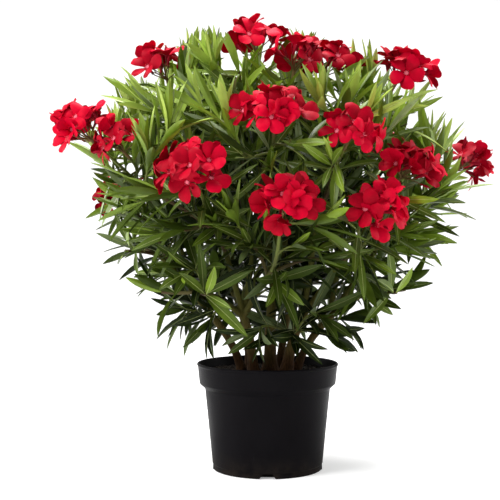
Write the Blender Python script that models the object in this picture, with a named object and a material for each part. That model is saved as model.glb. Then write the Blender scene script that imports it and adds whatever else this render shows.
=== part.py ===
"""A potted oleander: a shrub of seven stems in a round nursery pot, in full leaf and blossom.

World frame in metres, +Z up. The origin is the middle of the pot's flat underside, +X is to the right of
someone who faces the shrub and -Y is the side turned to them. Stems rise from the soil and fork into boughs.
A bough carries one mass of foliage, which grows by one rule: a stem, shoots that leave it for places spread
evenly over the crown, and whorls of leaves down each shoot. A truss of blossom is a flower twig with its
flowers fused on, at the end of a shoot.
"""

import math
import random

import bmesh
import bpy
import numpy as np
from mathutils import Matrix, Vector, geometry
from mathutils.bvhtree import BVHTree

# ---------------------------------------------------------------- driving dimensions, in metres and degrees
GAP = 0.0003  # left between touching pieces
UP = Vector((0, 0, 1))
GOLDEN_ANGLE = math.pi * (3 - math.sqrt(5))

POT_SIDES = 36
POT_HEIGHT = 0.168
RIM_RADIUS = 0.1125
RIM_LIP = 0.0035  # height of the thin lip round the top
BAND_TOP_RADIUS = 0.1113
BAND_FOOT_RADIUS = 0.1085
BAND_FOOT_HEIGHT = 0.1357
SHOULDER_RADIUS = 0.0998
SHOULDER_HEIGHT = 0.1278
WALL_FOOT_RADIUS = 0.0878
FOOT_RADIUS = 0.0868
FOOT_HEIGHT = 0.0095
POT_WALL = 0.0018
POT_FLOOR = 0.0025
NOTCHES = 4
NOTCH_WIDTH = 0.032
NOTCH_DEPTH = 0.016
NOTCH_HEIGHT = 0.008
NOTCH_SLOPE = 0.005
DRAIN_RADIUS = 0.004

SOIL_TOP = 0.155
SOIL_EDGE_DROP = 0.003
SOIL_FLAT_RADIUS = 0.062

CROWN_WIDEST = 0.455  # height of the crown's widest level
CROWN_TOP = 0.725
CROWN_FOOT = 0.165
CROWN_HALF_WIDTH = 0.330
CROWN_HALF_DEPTH = 0.318
CROWN_FOOT_SHARE = 0.41  # of the widest radius, down at the foot
CROWN_LEAN = 0.020  # to the right, at its leaning level
LEAN_LEVEL = 0.395
LEAN_SPAN = 0.150  # above and below that level the crown stands straight again
CROWN_HEART = Vector((0, 0, 0.400))  # the crown is looked at from here when shoots are spread over it

STEM_SIDES = 8
BOUGH_SIDES = 5
STEM_FLARE = 1.45
FORK_RADIUS = 0.0052  # of a bough where it leaves its fork
TIP_RADIUS = 0.0038  # of a bough's tip, and of the mass's stem there
STEM_END_RADIUS = 0.0032
SHOOT_RADIUS = 0.0030
SHOOT_TIP_RADIUS = 0.0025
BOUGH_SHARE = 0.60  # of the way from fork to hub, before the foliage's own stem begins

SHOOT_PLACES = 66  # spread over the crown; those in a truss's space are left to it
LOWEST_PLACE = -0.60  # sine of the lowest place's elevation, seen from the heart
SHOOT_SHARE = 0.76  # of the way from the heart to the crown's surface
BRANCHING_SHARES = (0.985, 0.87, 0.75, 0.63, 0.51, 0.39, 0.27)  # of a mass's stem, where shoots may leave it
LONGEST_SHOOT = 0.180
TIP_SPACING = 0.058  # at least, between the tips of two shoots
SKIRT_SWING = 55.0
SKIRT_REACH = 0.060
LEAF_LENGTH = 0.106
LEAF_WIDTH = 0.022
LEAF_KEEL = 0.0022  # depth of the keel under the leaf
LEAF_FOOT_SHARE = 0.12  # size of the sunk foot's section next to the widest one
WHORL = 3
WHORL_STAGGER = 0.0035
WHORL_SPACING = 0.020
LEAVES_PER_SHOOT = 5
# How a leaf is tried until it finds room: share of its opening, swing round the shoot, share of its length.
LEAF_TRIES = [(c, t, s) for s in (1, 0.86, 0.72) for c in (1, 0.7) for t in (0, 0.45, -0.45)]
CELL_MARGIN = 0.0025  # kept between the spaces of two masses
LIMB_CLEARANCE = 0.0065
SHOOT_CLEARANCE = 0.0055
LOWEST_LEAF = 0.178

BLOSSOM_HEART = Vector((0, 0, 0.270))  # every truss looks away from here
RING_FLOWERS = (5, 4)  # round a truss, by turns, besides the one on top
TRUSS_RADIUS = 0.051  # of the dome on which the flowers stand
TRUSS_LEAN = 54.0
TRUSS_DEPTH = 0.034  # from the dome's centre to the middle of the truss
TRUSS_STALK = 0.016  # from the shoot's tip to the dome's centre
TRUSS_SPACE = 0.061
STALK_RADIUS = 0.0026
PEDICEL_RADIUS = 0.0016
PEDICEL_FOOT_SHARE = 0.6
FLOWER_RADIUS = 0.0258
PETAL_HALF_ANGLE = 24.0
SINUS_RADIUS = 0.0120
TUBE_LENGTH = 0.019

# Each stem: azimuth of its lean from +X, foot and fork distances from the middle, fork height over the soil,
# and its radius over the root flare.
STEMS = {
    "left": (184, 0.041, 0.092, 0.092, 0.0066),
    "back_left": (142, 0.035, 0.060, 0.105, 0.0074),
    "front_left": (236, 0.039, 0.064, 0.090, 0.0082),
    "centre": (300, 0.008, 0.018, 0.118, 0.0105),
    "back_right": (50, 0.031, 0.060, 0.105, 0.0070),
    "front_right": (316, 0.041, 0.074, 0.088, 0.0092),
    "right": (2, 0.046, 0.098, 0.084, 0.0066),
}

# Each mass of foliage: the stem it grows from, whether a bough carries it there, its hub and the middles of
# its trusses. Places are in millimetres, across, away and up.
MASSES = {
    "top": ("centre", True, (-16, 6, 560), [(-20, -16, 692)]),
    "top_right": ("centre", True, (74, -10, 545), [(44, -80, 655), (100, -14, 658)]),
    "top_left": ("back_left", True, (-98, 16, 530), [(-171, -56, 645)]),
    "right_high": ("right", True, (158, 0, 500), [(215, -66, 634)]),
    "front_high": ("front_left", True, (-8, -104, 455), [(10, -235, 545)]),
    "front_right_high": ("front_right", True, (92, -116, 440), [(124, -228, 524)]),
    "left_high": ("left", True, (-205, -12, 452), [(-300, -56, 542)]),
    "front_left_high": ("front_left", True, (-84, -126, 388), [(-113, -244, 462)]),
    "back_high": ("back_right", True, (24, 116, 490), [(18, 228, 598)]),
    "right_low": ("right", True, (236, 0, 405), [(330, -4, 494)]),
    "front_right_low": ("front_right", True, (132, -104, 345), [(217, -162, 475), (161, -226, 412)]),
    "front_low": ("front_left", False, (6, -150, 318), [(23, -262, 419)]),
    "left_low": ("left", False, (-186, -34, 346), []),
    "back_left": ("back_left", True, (-142, 128, 420), [(-170, 226, 522), (-262, 92, 446)]),
    "back_right": ("back_right", True, (150, 122, 430), [(226, 166, 524)]),
    "back_low": ("back_left", False, (24, 168, 350), [(64, 266, 432)]),
    "skirt_left": ("front_left", False, (-100, -106, 284), []),
    "skirt_right": ("right", False, (172, -46, 284), []),
    "skirt_back": ("back_right", False, (76, 118, 290), []),
}

BLACK_PLASTIC = ("black_plastic", (0.012, 0.012, 0.014), 0.45)
POTTING_SOIL = ("potting_soil", (0.030, 0.020, 0.013), 0.95)
BARK = ("bark", (0.110, 0.072, 0.045), 0.85)
GREEN_BARK = ("green_bark", (0.120, 0.130, 0.050), 0.75)
LEAF_GREEN = ("leaf_green", (0.090, 0.200, 0.040), 0.50)
BLOSSOM_RED = ("blossom_red", (0.600, 0.005, 0.020), 0.55)


# ---------------------------------------------------------------- objects, materials and Boolean joins
def material_of(finish):
    name, colour, roughness = finish
    found = bpy.data.materials.get(name)
    if found:
        return found
    made = bpy.data.materials.new(name)
    made.use_nodes = True
    shader = made.node_tree.nodes["Principled BSDF"]
    shader.inputs["Base Color"].default_value = (*colour, 1)
    shader.inputs["Roughness"].default_value = roughness
    return made


def object_of(name, shape, finish):
    """An object made from a bmesh, which is freed."""
    bmesh.ops.recalc_face_normals(shape, faces=shape.faces)
    mesh = bpy.data.meshes.new(name)
    shape.to_mesh(mesh)
    shape.free()
    mesh.materials.append(material_of(finish))
    made = bpy.data.objects.new(name, mesh)
    bpy.context.scene.collection.objects.link(made)
    return made


def apply_boolean(base, operation, others):
    """Joins the other objects to base, or cuts them from it, with one modifier, and removes them."""
    group = bpy.data.collections.new("joined_to_" + base.name)
    bpy.context.scene.collection.children.link(group)
    for other in others:
        bpy.context.scene.collection.objects.unlink(other)
        group.objects.link(other)
    modifier = base.modifiers.new("join", "BOOLEAN")
    modifier.operation = operation
    modifier.operand_type = "COLLECTION"
    modifier.collection = group
    modifier.solver = "EXACT"
    graph = bpy.context.evaluated_depsgraph_get()
    joined = bpy.data.meshes.new_from_object(base.evaluated_get(graph))
    base.modifiers.clear()
    spent = [base.data] + [other.data for other in others]
    base.data = joined
    for other in others:
        bpy.data.objects.remove(other)
    for mesh in spent:
        if mesh.users == 0:
            bpy.data.meshes.remove(mesh)
    bpy.data.collections.remove(group)
    joined.name = base.name
    return base


def keep_main_body(piece):
    """Drops loose scraps and fills sealed hollows: only the island of faces with the most volume stays."""
    shape = bmesh.new()
    shape.from_mesh(piece.data)
    islands = []
    unseen = set(shape.faces)
    while unseen:
        found = {unseen.pop()}
        front = list(found)
        while front:
            for edge in front.pop().edges:
                fresh = [face for face in edge.link_faces if face in unseen]
                unseen.difference_update(fresh)
                found.update(fresh)
                front.extend(fresh)
        islands.append(found)
    if len(islands) > 1:
        main = max(islands, key=signed_volume)
        loose = [face for island in islands if island is not main for face in island]
        bmesh.ops.delete(shape, geom=loose, context="FACES")
    shape.to_mesh(piece.data)
    shape.free()
    return piece


def signed_volume(faces):
    """Six times the volume inside the faces, less than nothing where they look into a hollow."""
    total = 0.0
    for face in faces:
        first, *rest = (vertex.co for vertex in face.verts)
        total += sum(first.dot(a.cross(b)) for a, b in zip(rest, rest[1:]))
    return total


# ---------------------------------------------------------------- turned and tapered shapes
def turned(name, profile, sides, finish):
    """A closed solid of revolution about Z. The profile runs from the axis, round the outside, to the axis."""
    shape = bmesh.new()
    rings = []
    for radius, height in profile:
        if radius == 0:
            rings.append([shape.verts.new((0, 0, height))])
            continue
        angles = [2 * math.pi * k / sides for k in range(sides)]
        rings.append([shape.verts.new((radius * math.cos(a), radius * math.sin(a), height)) for a in angles])
    for low, high in zip(rings, rings[1:]):
        for k in range(sides):
            corners = [low[k % len(low)], low[(k + 1) % len(low)], high[(k + 1) % len(high)], high[k % len(high)]]
            shape.faces.new(list(dict.fromkeys(corners)))
    return object_of(name, shape, finish)


def bezier(start, start_way, end, end_way, steps, pull=0.36):
    """Points from start to end that set out along start_way and arrive along end_way."""
    reach = (end - start).length * pull
    first, second = start + start_way * reach, end - end_way * reach
    return geometry.interpolate_bezier(start, first, second, end, steps)


def across(way):
    """A unit vector square to way."""
    other = Vector((1, 0, 0)) if abs(way.x) < 0.8 else Vector((0, 1, 0))
    return way.cross(other).normalized()


def spoke_of(way, turn):
    """The unit vector square to way at an angle round it."""
    return Matrix.Rotation(turn, 3, way) @ across(way)


def limb(name, path, radii, sides, finish, roll=0.0, start_way=None, end_way=None):
    """A tapering limb along path, with flat ends. start_way and end_way tilt the ends off the path's own way."""
    shape = bmesh.new()
    ways = [(b - a).normalized() for a, b in zip(path, path[1:])]
    turns = [(a + b).normalized() for a, b in zip(ways, ways[1:])]
    ways = [start_way or ways[0]] + turns + [end_way or ways[-1]]
    side = across(ways[0])
    rings = []
    for point, way, radius in zip(path, ways, radii):
        side = (side - way * side.dot(way)).normalized()
        start = Matrix.Rotation(roll, 3, way) @ side
        spokes = [Matrix.Rotation(2 * math.pi * k / sides, 3, way) @ start for k in range(sides)]
        rings.append([shape.verts.new(point + spoke * radius) for spoke in spokes])
    for low, high in zip(rings, rings[1:]):
        for k in range(sides):
            shape.faces.new((low[k], low[(k + 1) % sides], high[(k + 1) % sides], high[k]))
    shape.faces.new(rings[0][::-1])
    shape.faces.new(rings[-1])
    return object_of(name, shape, finish)


def length_of(path):
    return sum((b - a).length for a, b in zip(path, path[1:]))


def tapered(path, first, last):
    """A radius for each point of path, from first to last by length."""
    whole = length_of(path)
    return [first + (last - first) * length_of(path[: n + 1]) / whole for n in range(len(path))]


def part_of_path(path, start, end, steps):
    """Points evenly spaced by length between two lengths along path."""
    points = []
    for k in range(steps):
        left = start + (end - start) * k / (steps - 1)
        for a, b in zip(path, path[1:]):
            run = (b - a).length
            if left <= run or b is path[-1]:
                points.append(a + (b - a) * (left / run))
                break
            left -= run
    return points


# ---------------------------------------------------------------- pot and soil
def pot_inner_profile(floor, clearance):
    """The inside of the pot from its rim down, drawn in by clearance."""
    inset = POT_WALL + clearance
    return [
        (BAND_TOP_RADIUS - inset, POT_HEIGHT),
        (BAND_FOOT_RADIUS - inset, BAND_FOOT_HEIGHT + POT_WALL),
        (SHOULDER_RADIUS - inset, SHOULDER_HEIGHT + POT_WALL),
        (FOOT_RADIUS - inset, floor),
    ]


def make_pot():
    """A thin shell with a lipped rim band, a foot ring and drain notches let into the foot."""
    outside = [
        (0, 0),
        (FOOT_RADIUS, 0),
        (FOOT_RADIUS, FOOT_HEIGHT - 0.0008),
        (WALL_FOOT_RADIUS, FOOT_HEIGHT),
        (SHOULDER_RADIUS, SHOULDER_HEIGHT),
        (BAND_FOOT_RADIUS, BAND_FOOT_HEIGHT),
        (BAND_TOP_RADIUS, POT_HEIGHT - RIM_LIP - 0.001),
        (RIM_RADIUS, POT_HEIGHT - RIM_LIP),
        (RIM_RADIUS, POT_HEIGHT - 0.0012),
        (RIM_RADIUS - 0.0012, POT_HEIGHT),
    ]
    profile = outside + pot_inner_profile(POT_FLOOR, 0.0) + [(0, POT_FLOOR)]
    pot = turned("pot", profile, POT_SIDES, BLACK_PLASTIC)
    covers = [notch_block(k, POT_WALL, 0.0) for k in range(NOTCHES)]
    apply_boolean(pot, "UNION", covers)
    cutters = [notch_block(k, 0.0, POT_WALL + 0.004) for k in range(NOTCHES)]
    cutters += [drain(k) for k in range(NOTCHES)]
    return apply_boolean(pot, "DIFFERENCE", cutters)


def notch_block(number, grown, overrun):
    """The hollow of one drain notch, or its cover when grown. overrun carries it past the foot and the floor."""
    shape = bmesh.new()
    half, height = NOTCH_WIDTH / 2 + grown, NOTCH_HEIGHT + grown
    low = -overrun if overrun else POT_FLOOR / 4
    slope = NOTCH_SLOPE * (height - low) / NOTCH_HEIGHT
    inner = FOOT_RADIUS - NOTCH_DEPTH - grown
    outer = FOOT_RADIUS + overrun if overrun else FOOT_RADIUS - POT_WALL / 3
    corners = [(-half, low), (half, low), (half - slope, height), (-half + slope, height)]
    near = [shape.verts.new((inner, y, z)) for y, z in corners]
    far = [shape.verts.new((outer, y, z)) for y, z in corners]
    shape.faces.new(near[::-1])
    shape.faces.new(far)
    for k in range(4):
        shape.faces.new((near[k], near[(k + 1) % 4], far[(k + 1) % 4], far[k]))
    bmesh.ops.rotate(shape, verts=shape.verts, matrix=Matrix.Rotation(notch_angle(number), 3, "Z"))
    return object_of(f"notch_{number}", shape, BLACK_PLASTIC)


def notch_angle(number):
    """The first notch faces the front."""
    return -math.pi / 2 + 2 * math.pi * number / NOTCHES


def drain(number):
    """A drain hole up through the roof of a notch."""
    angle, radius = notch_angle(number), FOOT_RADIUS - NOTCH_DEPTH / 2 - 0.001
    centre = Vector((radius * math.cos(angle), radius * math.sin(angle), 0))
    ends = [centre + UP * (NOTCH_HEIGHT / 2), centre + UP * (2 * NOTCH_HEIGHT)]
    return limb(f"drain_{number}", ends, [DRAIN_RADIUS] * 2, 10, BLACK_PLASTIC)


def make_soil():
    """The soil round the roots, a hair clear of the pot, flat where the stems stand and lower at its edge."""
    brim, band_foot, shoulder, foot = pot_inner_profile(POT_FLOOR + GAP, GAP)
    edge = SOIL_TOP - SOIL_EDGE_DROP
    share = (edge - band_foot[1]) / (brim[1] - band_foot[1])
    side = [foot, shoulder, band_foot, (band_foot[0] + (brim[0] - band_foot[0]) * share, edge)]
    top = [(SOIL_FLAT_RADIUS, SOIL_TOP), (0, SOIL_TOP)]
    soil = turned("soil", [(0, POT_FLOOR + GAP)] + side + top, POT_SIDES, POTTING_SOIL)
    covers = [notch_block(k, POT_WALL + GAP, 0.0) for k in range(NOTCHES)]
    for cover in covers:
        cover.scale.z = 1.02
    return apply_boolean(soil, "DIFFERENCE", covers)


# ---------------------------------------------------------------- where everything grows
def crown_share(height):
    """The crown's radius at a height, as a share of its widest: a cone below its widest level, a dome above."""
    if height < CROWN_WIDEST:
        drop = (CROWN_WIDEST - height) / (CROWN_WIDEST - CROWN_FOOT)
        return 1 - (1 - CROWN_FOOT_SHARE) * min(drop, 1.0)
    rise = (height - CROWN_WIDEST) / (CROWN_TOP - CROWN_WIDEST)
    return (1 - rise**1.8) ** 0.6 if rise < 1 else 0.0


def crown_lean(height):
    """How far to the right the crown's middle is at a height."""
    return CROWN_LEAN * max(0.0, 1 - abs(height - LEAN_LEVEL) / LEAN_SPAN)


def in_crown(point, grown=1.0):
    spread = math.hypot((point.x - crown_lean(point.z)) / CROWN_HALF_WIDTH, point.y / CROWN_HALF_DEPTH)
    return CROWN_FOOT < point.z and spread < crown_share(point.z) * grown


def crown_places():
    """Places spread evenly over the crown, inside its surface, with the way that each looks."""
    places = []
    for number in range(SHOOT_PLACES):
        rise = LOWEST_PLACE + (0.985 - LOWEST_PLACE) * (number + 0.5) / SHOOT_PLACES
        turn = number * GOLDEN_ANGLE
        flat = math.sqrt(1 - rise * rise)
        way = Vector((flat * math.cos(turn), flat * math.sin(turn), rise))
        reach = 0.0
        while in_crown(CROWN_HEART + way * reach):
            reach += 0.002
        places.append((CROWN_HEART + way * reach * SHOOT_SHARE, way))
    return places


def distances(points, runs):
    """The distance from each point to each straight run, as a table."""
    starts, ends = np.array([a for a, _ in runs]), np.array([b for _, b in runs])
    steps = ends - starts
    offsets = np.array(points)[:, None] - starts
    shares = np.clip((offsets * steps).sum(2) / (steps * steps).sum(1), 0, 1)
    return np.linalg.norm(offsets - shares[..., None] * steps, axis=2)


def runs_of(path):
    return list(zip(path, path[1:]))


class Stem:
    """A stem from its flat foot on the soil to its fork."""

    def __init__(self, name):
        azimuth, foot, fork, rise, self.radius = STEMS[name]
        out = Vector((math.cos(math.radians(azimuth)), math.sin(math.radians(azimuth)), 0))
        self.name = name
        self.foot = out * foot + UP * (SOIL_TOP + GAP)
        self.fork = out * fork + UP * (SOIL_TOP + rise)
        lean = (self.fork - self.foot).normalized()
        self.path = bezier(self.foot, (lean + UP * 0.9).normalized(), self.fork, (lean + out * 0.25).normalized(), 5)
        self.fork_radius = max(self.radius * 0.72, FORK_RADIUS * 1.12)
        self.masses = []

    def stub_length(self):
        """Long enough that the limbs from the fork start clear of each other."""
        ways = [mass.start_way for mass in self.masses]
        closest = min(a.angle(b) for n, a in enumerate(ways) for b in ways[n + 1 :])
        return min(0.034, 1.25 * FORK_RADIUS / math.sin(closest / 2))


class Truss:
    """A truss of blossom: its middle, the way it faces, the centre of its dome and the foot of its twig."""

    def __init__(self, mass_name, middle, number):
        self.name = f"blossom_{mass_name}" + ("_b" if number else "")
        self.middle = middle
        self.way = (middle - BLOSSOM_HEART).normalized()
        self.centre = middle - self.way * TRUSS_DEPTH
        self.foot = self.centre - self.way * TRUSS_STALK

    def holds(self, point):
        """Whether point is among the flowers or their stalks."""
        offset = point - self.centre
        along = offset.dot(self.way)
        if along < 0.004:
            spread = 0.010 + 1.4 * max(0.0, along + TRUSS_STALK / 2)
            return along > -TRUSS_STALK and (offset - self.way * along).length < spread
        return offset.length < TRUSS_SPACE


class Mass:
    """Where one mass of foliage grows: the limb from its fork to its hub, its shoots and its trusses."""

    def __init__(self, name):
        _, self.has_bough, hub, trusses = MASSES[name]
        self.name = name
        self.hub = Vector(hub) * 0.001
        self.trusses = [Truss(name, Vector(place) * 0.001, n) for n, place in enumerate(trusses)]
        self.outward = (self.hub - CROWN_HEART + UP * 0.06).normalized()
        self.shoots = []
        self.open_shares = list(BRANCHING_SHARES)

    def lay_limb(self, stem):
        """The limb sets out from the end of its stub on the fork. Its outer part is the foliage's own stem."""
        start = stem.fork + self.start_way * (stem.stub + GAP)
        arrive = (self.outward + (self.hub - start).normalized()).normalized()
        path = bezier(start, self.start_way, self.hub, arrive, 12)
        whole = length_of(path)
        tip = whole * BOUGH_SHARE if self.has_bough else 0.0
        before, after = part_of_path(path, tip - 0.004, tip + 0.004, 2)
        self.tip_way = (after - before).normalized() if self.has_bough else self.start_way
        self.bough_path = part_of_path(path, 0, tip, 5) if self.has_bough else []
        self.stem_path = part_of_path(path, tip + GAP if self.has_bough else 0.0, whole, 4)
        self.space = runs_of(self.stem_path[1:])

    def skirt_places(self):
        """A fan of places round the hub of a mass that has no blossom."""
        places = []
        for swing in (-SKIRT_SWING, 0, SKIRT_SWING):
            way = Matrix.Rotation(math.radians(swing), 3, "Z") @ Vector((self.hub.x, self.hub.y, 0)).normalized()
            places.append((self.hub + way * SKIRT_REACH, way))
        return places

    def branching(self, share):
        """The place on the mass's stem, and its way there, at a share of the stem's length."""
        along = length_of(self.stem_path) * share
        before, place = part_of_path(self.stem_path, along - 0.004, along, 2)
        return place, (place - before).normalized()

    def add_shoot(self, path, truss, share):
        self.shoots.append((path, truss))
        self.space += runs_of(path)
        self.open_shares.remove(share)


class Plan:
    """The whole shrub laid out before anything is built, and the tests that keep its pieces apart."""

    def __init__(self):
        self.stems = [Stem(name) for name in STEMS]
        self.masses = [Mass(name) for name in MASSES]
        self.trusses = [truss for mass in self.masses for truss in mass.trusses]
        for stem in self.stems:
            stem.masses = [mass for mass in self.masses if MASSES[mass.name][0] == stem.name]
            for mass in stem.masses:
                mass.start_way = ((mass.hub - stem.fork).normalized() + UP * 0.12).normalized()
            stem.stub = stem.stub_length()
            for mass in stem.masses:
                mass.lay_limb(stem)
        self.limbs = []
        for stem in self.stems:
            self.limbs += [(run, stem.radius) for run in runs_of(stem.path)]
            self.limbs += [((stem.fork, (mass.bough_path or mass.stem_path)[0]), FORK_RADIUS) for mass in stem.masses]
        for mass in self.masses:
            self.limbs += [(run, FORK_RADIUS) for run in runs_of(mass.bough_path)]
        self.limb_runs = [run for run, _ in self.limbs]
        self.limb_radii = np.array([radius for _, radius in self.limbs])
        self.add_flowering_shoots()
        self.add_leafy_shoots()
        self.space_runs = [run for mass in self.masses for run in mass.space]
        lengths = [len(mass.space) for mass in self.masses]
        self.first_runs = np.cumsum([0] + lengths[:-1])

    def add_flowering_shoots(self):
        for mass in self.masses:
            for truss, share in zip(mass.trusses, BRANCHING_SHARES):
                root, way = mass.branching(share)
                path = bezier(root, way, truss.foot - truss.way * GAP, truss.way, 4)
                mass.add_shoot(path, truss, share)

    def add_leafy_shoots(self):
        """Each place in the crown that is still open gets a shoot from one of the masses nearest to it."""
        low = [place for mass in self.masses if not mass.trusses for place in mass.skirt_places()]
        for place, look in low + crown_places():
            if any((place - truss.middle).length < TRUSS_SPACE + 0.008 for truss in self.trusses):
                continue
            tips = [path[-1] for mass in self.masses for path, _ in mass.shoots]
            if any((place - tip).length < TIP_SPACING for tip in tips):
                continue
            masses = sorted(self.masses, key=lambda m: (place - m.hub).length)
            arrive = (look + UP * (0.5 if place.z > 0.36 else 0.1)).normalized()
            choices = [(mass, share) for mass in masses[:3] for share in mass.open_shares]
            for mass, share in choices:
                root, way = mass.branching(share)
                path = bezier(root, (way + (place - root).normalized()).normalized(), place, arrive, 4)
                whole = length_of(path)
                if 0.030 < whole < LONGEST_SHOOT and self.free_for_shoot(mass, part_of_path(path, 0.014, whole, 10)):
                    mass.add_shoot(path, None, share)
                    break

    def free_for_shoot(self, mass, points):
        if (distances(points, self.limb_runs) < self.limb_radii + LIMB_CLEARANCE).any():
            return False
        if any(truss.holds(point) for truss in self.trusses for point in points):
            return False
        others = [run for other in self.masses if other is not mass for run in other.space]
        own = [run for path, _ in mass.shoots for run in runs_of(path)]
        return distances(points, others).min() > 2 * SHOOT_CLEARANCE and (
            not own or distances(points, own).min() > SHOOT_CLEARANCE
        )

    def free_for_leaf(self, owner, shoot, points):
        """Whether a leaf may pass here: in the mass's own space, above the pot, and off every limb and truss."""
        if not all(point.z > LOWEST_LEAF and in_crown(point, 1.05) for point in points):
            return False
        if any(truss.holds(point) for truss in self.trusses for point in points):
            return False
        if (distances(points, self.limb_runs) < self.limb_radii + LIMB_CLEARANCE).any():
            return False
        table = distances(points, self.space_runs)
        nearest = np.minimum.reduceat(table, self.first_runs, axis=1)
        own = nearest[:, owner].copy()
        nearest[:, owner] = np.inf
        if (nearest.min(axis=1) - own < CELL_MARGIN).any():
            return False
        mass = self.masses[owner]
        others = [run for path, _ in mass.shoots if path is not shoot for run in runs_of(path)]
        return not others or distances(points, others).min() > SHOOT_CLEARANCE


# ---------------------------------------------------------------- stems and boughs
def make_stem(stem):
    """A stem with its root flare, and a stub on its fork for each limb that it carries."""
    radii = tapered(stem.path, stem.radius, stem.fork_radius)
    radii[0] = stem.radius * STEM_FLARE
    radii[1] = stem.radius * (1 + (STEM_FLARE - 1) * 0.3)
    trunk = limb(f"stem_{stem.name}", stem.path, radii, STEM_SIDES, BARK, start_way=UP)
    stubs = []
    for number, mass in enumerate(stem.masses):
        sunk = stem.path[-2].lerp(stem.fork, 0.65)
        path = [sunk, stem.fork + mass.start_way * 0.004, stem.fork + mass.start_way * stem.stub]
        radii = [stem.fork_radius * 0.80, stem.fork_radius * 0.92, FORK_RADIUS]
        ends = {"start_way": mass.start_way, "end_way": mass.start_way}
        stubs.append(limb(f"stub_{number}", path, radii, BOUGH_SIDES, BARK, roll=0.3 + number, **ends))
    return keep_main_body(apply_boolean(trunk, "UNION", stubs))


def make_bough(mass):
    radii = tapered(mass.bough_path, FORK_RADIUS, TIP_RADIUS)
    ends = {"start_way": mass.start_way, "end_way": mass.tip_way}
    return limb(f"bough_{mass.name}", mass.bough_path, radii, BOUGH_SIDES, GREEN_BARK, **ends)


# ---------------------------------------------------------------- leaves
def leaf_places(path, flowering, older):
    """Whorls of leaves down a shoot from its tip: (rank, place, way of the shoot, opening, turn, size)."""
    whole = length_of(path)
    places = []
    rank = 0
    along = whole - 0.009
    while along > 0.018:
        opening = 84 - 6 * rank if flowering else 25 + 16 * rank + 12 * older
        for k in range(WHORL):
            before, place = part_of_path(path, along - 0.004, along, 2)
            turn = 2 * math.pi * k / WHORL + (rank % 2) * math.pi / WHORL
            places.append((rank, place, (place - before).normalized(), min(opening, 84), turn, 1 - 0.04 * rank))
            along -= WHORL_STAGGER
        along -= WHORL_SPACING
        rank += 1
    return places


class Leaf:
    """A lance-shaped leaf, flat above and keeled below, whose foot is sunk in its shoot."""

    def __init__(self, place, way, opening, turn, length, width, droop):
        spoke = spoke_of(way, turn)
        angle = math.radians(opening)
        out = (way * math.cos(angle) + spoke * math.sin(angle)).normalized()
        side = way.cross(spoke).normalized()
        upper = side.cross(out).normalized()
        if upper.dot(way) < 0:
            upper.negate()
        self.middle = place + out * length * 0.44 - UP * (droop * length * 0.06)
        self.tip = place + out * length - UP * (droop * length * 0.30)
        section = [upper * 0.0010 - side * width / 2, upper * 0.0010 + side * width / 2, -upper * LEAF_KEEL]
        self.foot = [place + corner * LEAF_FOOT_SHARE for corner in section]
        self.wide = [self.middle + corner for corner in section]

    def samples(self):
        """Points on the leaf, past its foot, that have to be free."""
        centre = sum(self.foot, Vector()) / 3
        points = [centre.lerp(self.middle, share) for share in (0.35, 0.7)]
        points += [self.middle, *self.wide[:2]]
        points += [self.middle.lerp(self.tip, share) for share in (0.33, 0.67, 1.0)]
        points += [edge.lerp(self.tip, share) for edge in self.wide[:2] for share in (0.25, 0.5)]
        points += [foot.lerp(edge, 0.7) for foot, edge in zip(self.foot[:2], self.wide[:2])]
        return points

    def tree(self):
        """The leaf without its foot, to test against other leaves."""
        cut = [foot.lerp(wide, 0.12) for foot, wide in zip(self.foot, self.wide)]
        faces = [(0, 1, 4, 3), (1, 2, 5, 4), (2, 0, 3, 5), (3, 4, 6), (4, 5, 6), (5, 3, 6)]
        return BVHTree.FromPolygons(cut + self.wide + [self.tip], faces)

    def build(self):
        shape = bmesh.new()
        near = [shape.verts.new(corner) for corner in self.foot]
        wide = [shape.verts.new(corner) for corner in self.wide]
        end = shape.verts.new(self.tip)
        shape.faces.new(near[::-1])
        for k in range(3):
            after = (k + 1) % 3
            shape.faces.new((near[k], near[after], wide[after], wide[k]))
            shape.faces.new((wide[k], wide[after], end))
        return object_of("leaf", shape, LEAF_GREEN)


def grow_leaves(plan, owner, path, flowering, chance):
    """The leaves of one shoot, tips first. Each is tried as it should be, then narrower in its angle or shorter."""
    mass = plan.masses[owner]
    older = 1.0 if path[-1].z < 0.34 else 0.0
    grown = []
    for rank, place, way, opening, turn, size in leaf_places(path, flowering, older):
        if len(grown) == LEAVES_PER_SHOOT:
            break
        turn += chance.uniform(-0.25, 0.25)
        opening += chance.uniform(-5, 5)
        droop = (0.2 if rank == 0 else 0.5) + 0.8 * older
        for closer, swing, shorter in LEAF_TRIES:
            if flowering and rank == 0 and closer < 1:
                continue
            length = LEAF_LENGTH * size * shorter
            width = LEAF_WIDTH * (0.4 + 0.6 * shorter)
            leaf = Leaf(place, way, opening * closer, turn + swing, length, width, droop)
            if not plan.free_for_leaf(owner, path, leaf.samples()):
                continue
            tree = leaf.tree()
            if not any(tree.overlap(other) for other in mass.leaf_trees):
                mass.leaf_trees.append(tree)
                grown.append(leaf)
                break
    return grown


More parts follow.
